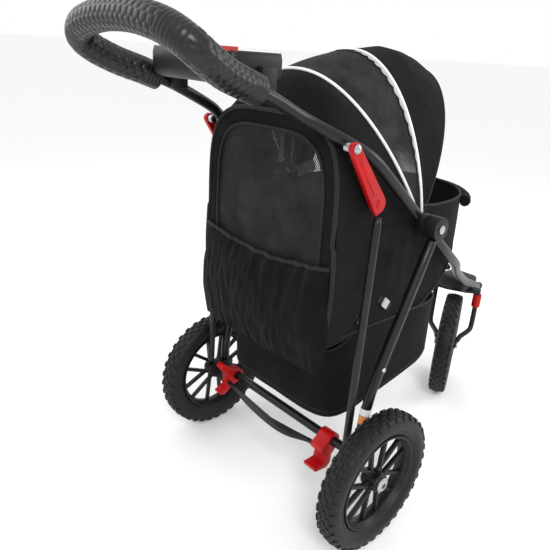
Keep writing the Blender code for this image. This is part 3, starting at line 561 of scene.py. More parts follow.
def makeRimShape(rimRadius, width):
    half = width / 2
    hoopInner = rimRadius - 0.012
    outline = [(rimRadius - 0.0003, half * 0.90), (rimRadius - 0.001, half), (rimRadius - 0.004, half),
               (rimRadius - 0.0055, half * 0.80), (hoopInner + 0.001, half * 0.45),
               (hoopInner, half * 0.30)]
    outline += [(reach, -along) for reach, along in outline][::-1]
    things = [spun("hoop", outline, (0, 0, 0), steps=rim["hoopSteps"])]
    hubRadius = rim["hubRadius"]
    hub = [(hubRadius, 0.0155), (hubRadius * 0.86, 0.0200), (0.0066, 0.0209), (0.0064, 0.0200),
           (0.0064, -0.0200), (0.0066, -0.0209), (hubRadius * 0.86, -0.0200), (hubRadius, -0.0155),
           (hubRadius * 0.93, -0.008), (hubRadius * 0.93, 0.008)]
    things.append(spun("hub", hub, (0, 0, 0), steps=48))
    for pair in range(rim["pairs"]):
        middle = 2 * math.pi * pair / rim["pairs"]
        for sign in (1, -1):
            inner = middle - sign * math.radians(rim["hubSpread"])
            outer = middle + sign * math.radians(rim["rimSpread"])
            start = Vector((0, math.cos(inner), math.sin(inner))) * (hubRadius * 0.90)
            end = Vector((0, math.cos(outer), math.sin(outer))) * (hoopInner + 0.002)
            lean = math.atan2(end.z - start.z, end.y - start.y)
            bar = cube("spoke", (0, 0, 0), (rim["spokeDepth"], (end - start).length, rim["spokeWidth"]),
                       bevel=0.0024, segments=3)
            for corner in bar.data.vertices:          # a spoke narrows towards its middle
                share = 1 - 0.22 * math.cos(math.pi * corner.co.y / (end - start).length)
                corner.co.z *= share
            bar.data.transform(Matrix.Translation((start + end) / 2) @ Matrix.Rotation(lean, 4, "X"))
            things.append(bar)
    return joined("rimShape", things)


def makeWheels():
    low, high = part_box("rear_wheel_left_tyre")
    radius, width = (high.z - low.z) / 2, high.x - low.x
    rimLow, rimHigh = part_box("rear_wheel_left_rim")
    rimRadius = (rimHigh.z - rimLow.z) / 2
    tyreShape = smooth(makeTyreShape(radius, width, rimRadius + 0.0003), 38)
    rimShape = smooth(makeRimShape(rimRadius, 0.036), 38)
    frontAxis = Vector(joints["front_wheel_spin"]["axis"])
    frontTurn = math.atan2(frontAxis.y, frontAxis.x)
    spots = [("rear_wheel_left", "rear_wheel_l", joints["rear_wheel_left_spin"]["pos_m"], 0.0),
             ("rear_wheel_right", "rear_wheel_r", joints["rear_wheel_right_spin"]["pos_m"], math.pi),
             ("front_wheel", "front_wheel", joints["front_wheel_spin"]["pos_m"], frontTurn)]
    for name, body, centre, turn in spots:
        for shape, ending, finish, slot in ((tyreShape, "tyre", "rubber", "rubber_black"),
                                            (rimShape, "rim", "plastic", "plastic_black")):
            piece = bpy.data.objects.new(name + "_" + ending + "_detail", shape.data.copy())
            bpy.context.scene.collection.objects.link(piece)
            piece.data.transform(Matrix.Translation(centre) @ Matrix.Rotation(turn, 4, "Z"))
            ready(piece, body, finishes[finish], slot, name + "_" + ending)
    for shape in (tyreShape, rimShape):
        bpy.data.objects.remove(shape, do_unlink=True)


makeWheels()
print("wheels ready")


# frame tubes and hard parts

tubes = {
    "fatten": 0.00105,       # subdividing an eight-sided tube draws it in by this much
    "bodies": {"front_tube": "frame", "rear_leg": "rear_legs", "fold_strut": "rear_legs",
               "fork_leg": "caster_fork"},
    "single": {"front_cross_bar": "frame", "rear_axle_tube": "rear_legs", "handle_tube": "handle_frame",
               "brake_bar": "brake"},
}
hardParts = {
    "hinge_plate": ("frame", 0.0012), "handle_knuckle": ("handle_frame", 0.0014),
    "leg_knuckle": ("rear_legs", 0.0030), "axle_bracket": ("rear_legs", 0.0022),
    "brake_pedal": ("brake", 0.0026), "tray_clip": ("handle_frame", 0.0010),
    "fork_tip": ("caster_fork", 0.0012),
}


def makeTubes():
    for stem, body in tubes["bodies"].items():
        for side, _ in sides:
            node = stem + "_" + side
            thin = 0.72 if stem in ("fork_leg", "fold_strut") else 1.0
            piece = softTube(node, node + "_round", tubes["fatten"] * thin)
            ready(piece, body, finishes["paint"], "frame_black", node)
    for node, body in tubes["single"].items():
        thin = {"brake_bar": 0.5, "front_cross_bar": 0.8}.get(node, 1.0)
        piece = softTube(node, node + "_round", tubes["fatten"] * thin)
        ready(piece, body, finishes["paint"], "frame_black", node)


def drawIn(thing, axis, reach, share):
    # whatever stands further than reach from the axis comes closer to it
    for corner in thing.data.vertices:
        arm = Vector((corner.co.y - axis.y, corner.co.z - axis.z))
        if arm.length > reach:
            arm *= (reach + (arm.length - reach) * share) / arm.length
            corner.co.y, corner.co.z = axis.y + arm.x, axis.z + arm.y


def makeHardParts():
    for stem, (body, width) in hardParts.items():
        for side, _ in sides:
            node = stem + "_" + side
            finish, slot = ("red", "lever_red") if stem == "brake_pedal" else ("plastic", "plastic_black")
            piece = copyOf(node, node + "_moulded")
            if stem == "brake_pedal":
                drawIn(piece, brakeAxis, 0.019, 0.72)
            piece = smooth(bevelled(piece, width, 3), 45)
            ready(piece, body, finishes[finish], slot, node)
    nose = smooth(bevelled(copyOf("nose_housing", "nose_moulded"), 0.002, 2), 50)
    ready(nose, "frame", finishes["plastic"], "plastic_black", "nose_housing")
    crown = smooth(bevelled(copyOf("fork_crown", "crown_moulded"), 0.0022, 3), 45)
    ready(crown, "caster_fork", finishes["plastic"], "plastic_black", "fork_crown")
    collar = smooth(bevelled(copyOf("swivel_lock", "lock_moulded"), 0.0012, 2), 45)
    ready(collar, "swivel_lock_collar", finishes["red"], "lever_red", "swivel_lock")
    turned = {"hinge_pin": "frame", "fold_lever_bolt": "handle_frame", "stub_axle": "rear_legs"}
    for node, body in turned.items():
        for side, _ in sides:
            solid = node + "_" + side
            piece = smooth(bevelled(copyOf(solid, solid + "_turned"), 0.0006, 2), 40)
            ready(piece, body, finishes["steel"], "steel", solid)
    piece = smooth(bevelled(copyOf("front_axle", "front_axle_turned"), 0.0008, 2), 40)
    ready(piece, "caster_fork", finishes["steel"], "steel", "front_axle")


makeTubes()
makeHardParts()
print("frame ready")


# fold levers

lever = {"footRadius": 0.0175, "rib": 0.0022}


def makeLevers():
    for side, sign in sides:
        node = "fold_lever_" + side
        low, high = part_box(node)
        piece = smooth(bevelled(copyOf(node, node + "_moulded"), 0.0028, 3), 45)
        pivot = Vector(joints["fold_lever_" + side + "_pivot"]["pos_m"])
        foot = Vector((pivot.x, low.y + lever["footRadius"], low.z + lever["footRadius"]))
        along = (foot - pivot).normalized()
        across = Vector((0, -along.z, along.y))
        outer = high.x if sign > 0 else low.x
        length = (foot - pivot).length
        rib = cube(node + "_rib", (0, 0, 0), (lever["rib"], length * 0.62, 0.0085), bevel=0.001, segments=2)
        lean = math.atan2(along.z, along.y)
        halfWay = (pivot + foot) / 2
        rib.data.transform(Matrix.Translation((outer, *halfWay.yz)) @ Matrix.Rotation(lean, 4, "X"))
        hook = cylinder(node + "_hook", (outer, foot.y, foot.z), 0.0085, 0.0030, bevel=0.0009)
        catch = cube(node + "_catch", (pivot.x, *(foot + along * 0.010 + across * 0.012).yz),
                     (abs(high.x - low.x) * 0.9, 0.012, 0.009), (lean, 0, 0), bevel=0.003, segments=3)
        whole = smooth(joined(node + "_red", [piece, rib, hook, catch]), 45)
        ready(whole, "fold_lever_" + side[0], finishes["red"], "lever_red", node)
        rivet = spun(node + "_rivet", [(0.0, 0.0044), (0.0035, 0.0040), (0.0062, 0.0022), (0.0068, 0.0)],
                     (outer + sign * 0.0031, pivot.y, pivot.z), (sign, 0, 0), 28, closed=False)
        ready(smooth(rivet), "handle_frame", finishes["steel"], "steel")


makeLevers()
print("levers ready")


# handle grip

grip = {
    "radius": 0.0228, "shellHeight": 0.0016, "cell": 0.0150,
    "endBand": 0.034, "bandRib": 0.0062, "ribHeight": 0.0013,
    "cornerBand": (0.150, 0.192),        # arc lengths from each end that are ribbed
    "around": 64, "ring": 0.0017,
    "halfLoop": ((0.138, 0.240, 0.9005), (0.1405, 0.275, 0.9125), (0.150, 0.315, 0.926),
                 (0.160, 0.352, 0.944), (0.154, 0.374, 0.961), (0.118, 0.386, 0.979),
                 (0.060, 0.389, 0.990), (0.0, 0.389, 0.993)),      # measured from the rear axle
}


def gripPath():
    points = [Vector((x, y + brakeAxis.y, z)) for x, y, z in grip["halfLoop"]]
    return smoothPath(points + [Vector((-p.x, p.y, p.z)) for p in points[:-1][::-1]], 14)


def hexHeight(a, b, cell):
    # 1 on a shell's plateau, 0 in the groove between neighbouring six-sided shells
    width, height = cell, cell * math.sqrt(3)
    best = second = 9.0
    for shiftA, shiftB in ((0, 0), (0.5, 0.5)):
        baseA, baseB = round(a / width - shiftA) + shiftA, round(b / height - shiftB) + shiftB
        for stepA in (-1, 0, 1):
            for stepB in (-1, 0, 1):
                distance = math.hypot(a - (baseA + stepA) * width, b - (baseB + stepB) * height)
                if distance < best:
                    best, second = distance, best
                elif distance < second:
                    second = distance
    groove = (second - best) / cell
    rise = min(1.0, max(0.0, (groove - 0.06) / 0.16))
    return rise * (0.75 + 0.25 * math.cos(min(1.0, best / (0.6 * cell)) * math.pi / 2))


def makeGrip():
    path = gripPath()
    lengths = [0.0]
    for here, after in zip(path, path[1:]):
        lengths.append(lengths[-1] + (after - here).length)
    total = lengths[-1]
    rings = int(total / grip["ring"])
    around = grip["around"]
    girth = 2 * math.pi * grip["radius"]
    cell = girth / round(girth / grip["cell"])

    def at(distance):
        for i in range(len(path) - 1):
            if lengths[i + 1] >= distance or i == len(path) - 2:
                share = (distance - lengths[i]) / (lengths[i + 1] - lengths[i])
                return path[i].lerp(path[i + 1], share), (path[i + 1] - path[i]).normalized()

    frames = []
    side = Vector((0, 0, 1))
    for ring in range(rings + 1):
        distance = total * ring / rings
        before, heading = at(max(0, distance - 0.004))
        after = at(min(total, distance + 0.004))[0]
        heading = (after - before).normalized()
        side = (side - heading * side.dot(heading)).normalized()
        frames.append((at(distance)[0], side.copy(), heading.cross(side), distance))

    def shape(u, v):
        middle, upward, outward, distance = frames[min(rings, round(v * rings))]
        angle = 2 * math.pi * u
        fromEnd = min(distance, total - distance)
        radius = grip["radius"]
        cornerStart, cornerEnd = grip["cornerBand"]
        if fromEnd < grip["endBand"] or cornerStart < fromEnd < cornerEnd:
            radius += grip["ribHeight"] * abs(math.sin(math.pi * fromEnd / grip["bandRib"])) - 0.0004
            radius -= 0.003 * max(0.0, 1 - fromEnd / 0.004) ** 2
        else:
            radius += grip["shellHeight"] * (hexHeight(distance, angle * grip["radius"], cell) - 0.5)
        return middle + (upward * math.cos(angle) + outward * math.sin(angle)) * radius

    piece = sheetFrom("handle_grip_shells", shape, around, rings)
    pick(piece)
    bpy.ops.object.mode_set(mode="EDIT")
    bpy.ops.mesh.select_all(action="SELECT")
    bpy.ops.mesh.remove_doubles(threshold=0.00001)
    bpy.ops.mesh.normals_make_consistent(inside=False)
    bpy.ops.object.mode_set(mode="OBJECT")
    thickened(piece, 0.004, -1.0)
    return ready(smooth(piece, 60), "handle_frame", finishes["foam"], "foam_black", "handle_grip")


makeGrip()
print("grip ready")


# parent tray

tray = {
    "wall": 0.0035, "corner": 0.014, "deckDepth": 0.020, "cupX": 0.074, "cupRing": 0.0345,
    "ringRadius": 0.0016, "tagX": 0.035, "tagWidth": 0.060, "tagHeight": 0.019, "tagRed": 0.78,
}


def roundedBlock(name, low, high, corner):
    # an upright block with round corners in plan
    spots = []
    for i in range(32):
        turn = 2 * math.pi * (i + 0.5) / 32
        hubX = high.x - corner if math.cos(turn) > 0 else low.x + corner
        hubY = high.y - corner if math.sin(turn) > 0 else low.y + corner
        spots.append((hubX + corner * math.cos(turn), hubY + corner * math.sin(turn)))
    count = len(spots)
    mesh = bpy.data.meshes.new(name)
    corners = [(x, y, z) for z in (low.z, high.z) for x, y in spots]
    faces = [tuple(range(count))[::-1], tuple(range(count, 2 * count))]
    faces += [(i, (i + 1) % count, (i + 1) % count + count, i + count) for i in range(count)]
    mesh.from_pydata(corners, [], faces)
    thing = bpy.data.objects.new(name, mesh)
    bpy.context.scene.collection.objects.link(thing)
    return thing


def makeTray():
    low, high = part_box("parent_tray")
    piece = copyOf("parent_tray", "parent_tray_moulded")
    middle = (low + high) / 2
    deck = high.z - tray["deckDepth"]
    inset = Vector((tray["wall"], tray["wall"], 0))
    cutter = roundedBlock("tray_cutter", Vector((low.x, low.y, deck)) + inset,
                          Vector((high.x, high.y, high.z + 0.02)) - inset, tray["corner"])
    recess = piece.modifiers.new("recess", "BOOLEAN")
    recess.operation = "DIFFERENCE"
    recess.object = cutter
    applyAll(piece)
    bpy.data.objects.remove(cutter)
    bevelled(piece, 0.0011, 2, 50)
    things = [piece]
    for sign in (1, -1):
        ringPath = [(sign * tray["cupX"] + tray["cupRing"] * math.cos(t),
                     middle.y + tray["cupRing"] * math.sin(t), deck)
                    for t in (2 * math.pi * i / 48 for i in range(48))]
        things.append(tubeAlong("cupRing", ringPath, tray["ringRadius"], closed=True, sides=10))
    whole = smooth(joined("parent_tray_body", things), 45)
    ready(whole, "handle_frame", finishes["plastic"], "plastic_black", "parent_tray")

    # a plain two-tone tag on the inside of the tray's front wall
    face = low.y + tray["wall"] + 0.0006
    redTall = tray["tagHeight"] * tray["tagRed"]
    whiteTall = tray["tagHeight"] - redTall - 0.0004
    top = high.z - 0.0008
    card = cube("tray_tag_red", (tray["tagX"], face, top - redTall / 2), (tray["tagWidth"], 0.0009, redTall),
                bevel=0.0003)
    ready(card, "handle_frame", finishes["labelRed"], "lever_red")
    foot = cube("tray_tag_white", (tray["tagX"], face, top - redTall - 0.0004 - whiteTall / 2),
                (tray["tagWidth"], 0.0009, whiteTall), bevel=0.0003)
    ready(foot, "handle_frame", finishes["piping"], "fabric_black")


makeTray()
print("tray ready")


# canopy

frontLow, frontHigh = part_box("canopy_front_section")
canopy = {
    "root": 0.010, "clothRoot": 0.030,
    "halfWidth": frontHigh.x - 0.0030, "topReach": frontHigh.z - hinge.z,
    "rearHoop": 125.0, "frontHoop": 98.0, "frontEdge": 62.0,
    # angle, reach short of the top reach, half width lost, squareness of the arch
    "hoops": ((62.0, 0.0030, 0.0045, 2.20), (72.0, 0.0005, 0.0040, 2.15), (84.0, 0.0015, 0.0035, 2.12),
              (90.0, 0.0090, 0.0020, 2.10), (98.0, 0.0160, 0.0010, 2.08), (125.0, -0.0040, 0.0, 2.28)),
    "rootShift": (0.0, -0.012, -0.007),
    "sag": 0.0045, "cloth": 0.0012, "piping": 0.0030, "rod": 0.0026, "across": 120,
    "rearPower": 4.0, "rearWaist": 0.645, "rearHalfWidth": 0.1815,
}


def hoopShape(angle):
    table = canopy["hoops"]
    for before, after in zip(table, table[1:]):
        if angle <= after[0]:
            break
    share = min(1.0, max(0.0, (angle - before[0]) / (after[0] - before[0])))
    short, lost, power = (before[k] + (after[k] - before[k]) * share for k in (1, 2, 3))
    return canopy["topReach"] - short, canopy["halfWidth"] - lost, power


def hoopTurn(share, reach, power, root):
    low = math.asin((root / reach) ** (power / 2))
    return low + (math.pi - 2 * low) * share


def archPoint(angle, share, out=0.0, root=None):
    # a point on a hoop about the hinge: share runs from the left root over the top to the right one
    reach, halfWidth, power = hoopShape(angle)
    t = hoopTurn(share, reach, power, root or canopy["clothRoot"])
    across = math.copysign(abs(math.cos(t)) ** (2 / power), math.cos(t))
    rise = math.sin(t) ** (2 / power)
    tilt = math.radians(angle)
    place = Vector(((halfWidth + out) * across, hinge.y - (reach + out) * rise * math.cos(tilt),
                    hinge.z + (reach + out) * rise * math.sin(tilt)))
    return place + Vector(canopy["rootShift"]) * (1 - rise) ** 2


def rearPoint(t, halfWidth, top):
    power, waist = canopy["rearPower"], canopy["rearWaist"]
    across = math.copysign(abs(math.cos(t)) ** (2 / power), math.cos(t))
    return halfWidth * across, waist + (top - waist) * math.sin(t) ** (2 / power)


def evenShare(share):
    # spreads grid lines more evenly round the hoop's corners
    return share - 0.045 * math.sin(2 * math.pi * share) * math.cos(math.pi * share) ** 2


def wrinkled(point, centre, depth, seed):
    outward = (point - centre).normalized()
    return point + outward * (ripple(point, 16.0, depth, seed) + ripple(point, 45.0, depth * 0.4, seed + 5))


def sheetArea(thing):
    return sum(face.area for face in thing.data.polygons)


def midGirth(shape, steps):
    # the length of a sheet's middle row
    return sum((shape(i / steps, 0.5) - shape((i + 1) / steps, 0.5)).length for i in range(steps))


def trimAlong(name, points, radius, body="frame", closed=False, sides=10):
    # a bound edge or seam
    return ready(tubeAlong(name, points, radius, closed=closed, sides=sides), body, finishes["binding"],
                 "fabric_black")


def makeCanopy():
    middle = hinge + Vector((0, 0, 0.08))

    def front(u, v):
        angle = canopy["frontEdge"] + (canopy["frontHoop"] + 1.5 - canopy["frontEdge"]) * v
        sag = canopy["sag"] * 0.6 * math.sin(math.pi * v) ** 2
        return wrinkled(archPoint(angle, evenShare(u), -0.0025 - sag), middle, 0.0022, 3.0)

    def band(u, v):
        angle = canopy["frontHoop"] + (canopy["rearHoop"] - canopy["frontHoop"]) * v
        return wrinkled(archPoint(angle, evenShare(u), -canopy["sag"] * 0.8 * math.sin(math.pi * v), 0.012),
                        middle, 0.0010, 7.0)

    rearLow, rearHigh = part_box("cabin_rear_panel")
    rearPlane = rearLow.y - 0.0004
    rearTop = rearHigh.z + 0.004

    def rear(u, v):
        reach, _, power = hoopShape(canopy["rearHoop"])
        share = evenShare(u)
        first = archPoint(canopy["rearHoop"], share, -0.001, 0.012)
        x, z = rearPoint(hoopTurn(share, reach, power, 0.012), canopy["rearHalfWidth"], rearTop)
        point = first.lerp(Vector((x, rearPlane, z)), v)
        lift = math.sin(math.pi * v) * 0.016 * max(0.0, first.z - hinge.z) / 0.3
        return wrinkled(point + Vector((0, 0.004 * math.sin(math.pi * v), lift)), middle, 0.0016, 11.0)

    pieces = (("canopy_front_cloth", front, 60, "canopy_front", "fabric", "fabric_black",
               "canopy_front_section"),
              ("canopy_band_mesh", band, 26, "frame", "canopyMesh", "mesh_black", "canopy_mesh_section"),
              ("canopy_rear_cloth", rear, 34, "frame", "fabric", "fabric_black", "canopy_rear_section"))
    for name, shape, along, body, finish, slot, node in pieces:
        cloth = sheetFrom(name, shape, canopy["across"], along)
        area = sheetArea(cloth)
        girth = midGirth(shape, 40)
        spread = max(area / girth * 1.02, max((shape(0.5, i / 10) - shape(0.5, (i + 1) / 10)).length * 10
                                              for i in range(10)))
        thickened(cloth, canopy["cloth"])
        ready(smooth(cloth, 60), body, finishes[finish], slot, node)

    rodPath = [archPoint(canopy["frontEdge"] - 0.75, evenShare(i / 100), -0.0035) for i in range(101)]
    rod = tubeAlong("canopy_front_hoop_rod", rodPath, canopy["rod"], sides=14)
    ready(rod, "canopy_front", finishes["plastic"], "plastic_black", "canopy_front_hoop")

    # bound front edge, and the two bright pipings
    edge = [archPoint(canopy["frontEdge"], evenShare(i / 100), -0.002) for i in range(101)]
    trimAlong("canopy_front_binding", edge, 0.0028, "canopy_front", sides=12)
    for name, angle in (("canopy_piping_front", canopy["frontHoop"]),
                        ("canopy_piping_rear", canopy["rearHoop"])):
        line = [archPoint(angle, evenShare(i / 140), 0.0014, canopy["root"]) for i in range(141)]
        cord = tubeAlong(name, line, canopy["piping"], sides=12)
        ready(cord, "frame", finishes["piping"], "fabric_black")

    # scalloped trim along the mesh side of the front piping
    def scallop(u, v):
        wave = abs(math.sin(math.pi * 34 * u))
        angle = canopy["frontHoop"] + 0.4 + (1.7 + 1.1 * wave) * v
        return archPoint(angle, evenShare(0.02 + 0.96 * u), 0.0016, 0.020)

    trim = sheetFrom("canopy_scalloped_trim", scallop, 340, 2)
    thickened(trim, 0.0008)
    ready(trim, "frame", finishes["webbing"], "fabric_black")


makeCanopy()
print("canopy ready")


# cabin

sideLow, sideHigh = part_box("cabin_side_left")
frontPanelLow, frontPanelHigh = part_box("cabin_front_panel")
cabin = {
    "halfWidth": frontPanelHigh.x, "rearY": sideHigh.y, "bendY": frontPanelHigh.y,
    "noseY": frontPanelLow.y, "noseShare": 0.82, "floorZ": sideLow.z,
    "hingeTop": 0.686, "rearTop": 0.703, "frontTop": frontPanelHigh.z,
    "rampSlope": 0.62, "rampStart": sideHigh.y - 0.3082, "cloth": 0.0016, "bulge": 0.0030,
}


def drawnBack(y):
    # the nose is a little shorter than its solids
    bendY, share = cabin["bendY"], cabin["noseShare"]
    return min(y, bendY) * share + max(y, bendY) - bendY * share


def floorHeight(y):
    return cabin["floorZ"] + max(0.0, cabin["rampStart"] - y) * cabin["rampSlope"]


def planPoint(share):
    # round the cabin from its rear right corner, past the front, to its rear left corner
    straight = cabin["rearY"] - cabin["bendY"]
    deep = (cabin["bendY"] - cabin["noseY"]) * cabin["noseShare"]
    wide = cabin["halfWidth"]
    curved = 0.62
    side = (1 - curved) / 2
    if share < side:
        return Vector((-wide, cabin["rearY"] - straight * share / side, 0)), Vector((-1, 0, 0))
    if share > (1 + curved) / 2:
        return Vector((wide, cabin["rearY"] - straight * (1 - share) / side, 0)), Vector((1, 0, 0))
    t = math.pi * ((share - (1 - curved) / 2) / curved - 0.5)
    point = Vector((wide * math.sin(t), cabin["bendY"] - deep * math.cos(t), 0))
    return point, Vector((math.sin(t) / wide, -math.cos(t) / deep, 0)).normalized()


def flareAt(height):
    # how far the rear corners stand out beyond the side walls
    return 0.003 + 0.009 * math.exp(-((height - 0.56) / 0.09) ** 2)


def makeCabin():
    def wall(u, v):
        point, outward = planPoint(u)
        bottom = floorHeight(point.y) - 0.006
        behindHinge = (point.y - hinge.y) / (cabin["rearY"] - hinge.y)
        if point.y > hinge.y:
            top = cabin["hingeTop"] + (cabin["rearTop"] - cabin["hingeTop"]) * behindHinge
        else:
            top = cabin["hingeTop"] + (cabin["frontTop"] - cabin["hingeTop"]) * min(1, -behindHinge * 4)
        height = bottom + (top - bottom) * v
        swell = cabin["bulge"] * math.sin(math.pi * v) ** 0.8
        swell += ripple((point.x, point.y, height * 0.35), 34.0, 0.0016, 2.0) * (0.3 + math.sin(math.pi * v))
        swell += ripple((point.x, point.y, height), 12.0, 0.0014, 9.0)
        swell += flareAt(height) * max(0.0, behindHinge) ** 2
        return Vector((point.x, point.y, height)) + outward * (swell - 0.0005)

    def nose(u, v):
        deep = (cabin["bendY"] - cabin["noseY"]) * cabin["noseShare"]
        y = cabin["bendY"] - deep * math.sin(math.pi / 2 * v)
        half = (cabin["halfWidth"] - 0.0005) * math.cos(math.pi / 2 * min(0.998, v))
        return Vector(((2 * u - 1) * half, y, floorHeight(y) - 0.0055))

    shell = joined("cabin_wall_cloth", [sheetFrom("wall", wall, 300, 60), sheetFrom("nose", nose, 40, 30)])
    girth = midGirth(wall, 80)
    thickened(shell, cabin["cloth"])
    ready(smooth(shell, 60), "frame", finishes["fabric"], "fabric_black", "cabin_side_left",
          "cabin_side_right", "cabin_front_panel")

    seam = []
    for i in range(161):
        point, outward = planPoint(i / 160)
        seam.append(Vector((point.x, point.y, floorHeight(point.y) + 0.004)) + outward * 0.0020)
    trimAlong("cabin_hem", seam, 0.0024)
    rimLine = [wall(i / 200, 1.0) for i in range(201)]
    trimAlong("cabin_top_binding", rimLine, 0.0026)

    board = copyOf("cabin_floor", "cabin_floor_board")
    for corner in board.data.vertices:
        y = drawnBack(corner.co.y)
        corner.co.z += floorHeight(y) - floorHeight(corner.co.y)
        corner.co.y = y
    board = smooth(bevelled(board, 0.0008, 1), 30)
    ready(board, "frame", finishes["lining"], "plastic_black", "cabin_floor")


def makeRearPanel():
    low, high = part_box("cabin_rear_panel")
    meshLow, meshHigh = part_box("rear_window_mesh")
    waist = canopy["rearWaist"]
    faceY = (low.y + high.y) / 2

    def outline(halfWidth, bottom, top, flare):
        # right side up, over the arch and down the left side
        side = [bottom + (waist - bottom) * i / 20 for i in range(20)]
        points = [(-halfWidth - flare * flareAt(z), z) for z in side]
        points += [(-x, z) for x, z in (rearPoint(math.pi * i / 60, halfWidth + flare * 0.003, top)
                                        for i in range(61))]
        return points + [(halfWidth + flare * flareAt(z), z) for z in side[::-1]]

    outer = outline(cabin["halfWidth"], low.z, high.z + 0.005, 1.0)
    inner = outline(meshHigh.x, meshLow.z, meshHigh.z, 0.0)

    def border(u, v):
        i = min(len(outer) - 1, round(u * (len(outer) - 1)))
        x, z = (outer[i][k] + (inner[i][k] - outer[i][k]) * v for k in (0, 1))
        lift = 0.0022 * math.sin(math.pi * v) + ripple((x, 0, z), 30.0, 0.0015, 4.0)
        return Vector((x, faceY + lift, z))

    frameCloth = sheetFrom("rear_border_cloth", border, len(outer) - 1, 8)

    def sill(u, v):
        x = (meshHigh.x * 2) * (u - 0.5)
        z = low.z + (meshLow.z - low.z) * v
        return Vector((x, faceY + ripple((x, 1, z), 30.0, 0.0015, 4.0), z))

    sillCloth = sheetFrom("rear_sill_cloth", sill, 40, 6)
    whole = joined("rear_panel_cloth", [frameCloth, sillCloth])
    thickened(whole, 0.0016)
    ready(smooth(whole, 60), "frame", finishes["fabric"], "fabric_black", "cabin_rear_panel")

    def net(u, v):
        i = v * 1.0
        bottom, top = meshLow.z - 0.002, meshHigh.z
        z = bottom + (top - bottom) * i
        if z <= waist:
            half = meshHigh.x
        else:
            rise = min(1.0, (z - waist) / (top + 0.001 - waist))
            power = canopy["rearPower"]
            half = meshHigh.x * (1 - rise ** power) ** (1 / power)
        x = half * 2 * (u - 0.5)
        swell = 0.004 * math.sin(math.pi * u) * math.sin(math.pi * min(1, v * 1.05))
        return Vector((x, faceY + swell + ripple((x, 2, z), 14.0, 0.0016, 6.0), z))

    window = sheetFrom("rear_window_net", net, 60, 70)
    thickened(window, 0.0006)
    ready(smooth(window, 60), "frame", finishes["windowMesh"], "mesh_black", "rear_window_mesh")

    for name, line, offset, radius in (("rear_edge_binding", outer, 0.0010, 0.0042),
                                       ("rear_window_binding", inner, 0.0024, 0.0030)):
        path = [(x, faceY + offset, z) for x, z in line]
        trimAlong(name, path, radius, sides=12)

    # webbing strap and a plain patch inside the cabin, seen through the net
    inside = brakeAxis.y + 0.060
    strap = cube("inner_strap", (-0.003, inside, 0.794), (0.011, 0.0016, 0.070), (0, math.radians(-3), 0),
                 bevel=0.0005)
    ready(strap, "frame", finishes["webbing"], "fabric_black")
    patch = cube("inner_patch", (-0.070, inside, 0.760), (0.048, 0.0012, 0.020), (0, math.radians(26), 0),
                 bevel=0.0005)
    ready(patch, "frame", finishes["webbing"], "fabric_black")


def makePocket():
    low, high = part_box("rear_pocket")
    wide = high.x

    def bag(u, v):
        # u across, v from the bottom seam round the belly to the elastic top edge
        x = (u - 0.5) * 2 * (wide + 0.010 * math.sin(math.pi * min(1, v * 1.3)))
        z = low.z - 0.010 + (high.z - low.z + 0.012) * v - 0.016 * math.sin(math.pi * u) * v
        across = math.sin(math.pi * min(1.0, max(0.0, u))) ** 0.35
        belly = math.sin(math.pi * (0.06 + 0.86 * v)) ** 0.7
        depth = (high.y - low.y - 0.004) * belly * across
        fold = 0.0042 * (noise.noise(Vector((x * 38, v * 2.2, 1.0)))) * (0.4 + 1.2 * abs(v - 0.5))
        fold += 0.0022 * noise.noise(Vector((x * 75, v * 5.0, 4.0)))
        return Vector((x, low.y + 0.0012 + max(0.0, depth + fold * across * 2), z))

    cloth = sheetFrom("rear_pocket_cloth", bag, 150, 70)
    girth = midGirth(bag, 60)
    thickened(cloth, 0.0014)
    ready(smooth(cloth, 60), "frame", finishes["fabric"], "fabric_black", "rear_pocket")
    top = [bag(i / 120, 1.0) + Vector((0, 0.0005, 0)) for i in range(121)]
    trimAlong("rear_pocket_elastic", top, 0.0040, sides=12)


makeCabin()
makeRearPanel()
makePocket()
print("cabin ready")


# padded pieces

pads = {"cushionInset": 0.006, "pressure": 4.0, "voxel": 0.006, "cap": 0.007}


def makeCushion():
    low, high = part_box("cabin_cushion")
    middle = (low + high) / 2
    size = high - low - Vector((2, 2, 1)) * pads["cushionInset"]
    pad = cube("cushion_pad", middle, size, bevel=0.009, segments=3)
    voxels = pad.modifiers.new("remesh", "REMESH")
    voxels.mode = "VOXEL"
    voxels.voxel_size = pads["voxel"]
    applyAll(pad)
    rest = [corner.co.copy() for corner in pad.data.vertices]
    cloth = pad.modifiers.new("puff", "CLOTH")
    cloth.settings.use_pressure = True
    cloth.settings.uniform_pressure_force = pads["pressure"]
    cloth.settings.effector_weights.gravity = 0
    cloth.settings.quality = 5
    scene = bpy.context.scene
    for step in range(1, 21):
        scene.frame_set(step)
    applyAll(pad)
    scene.frame_set(1)
    for corner, start in zip(pad.data.vertices, rest):
        moved = corner.co - start
        if moved.length > pads["cap"]:
            moved = moved.normalized() * pads["cap"]
        place = start + moved
        # quilted channels across the pad
        channel = math.exp(-(((place.y - low.y) % 0.058 - 0.029) / 0.0032) ** 2)
        if place.z > middle.z:
            place.z -= 0.0030 * channel
        place.z = min(max(place.z, low.z + 0.0004), high.z + 0.004)
        corner.co = place
    subdivided(pad, 1)
    ready(smooth(pad, 60), "frame", finishes["plush"], "cushion_grey", "cabin_cushion")


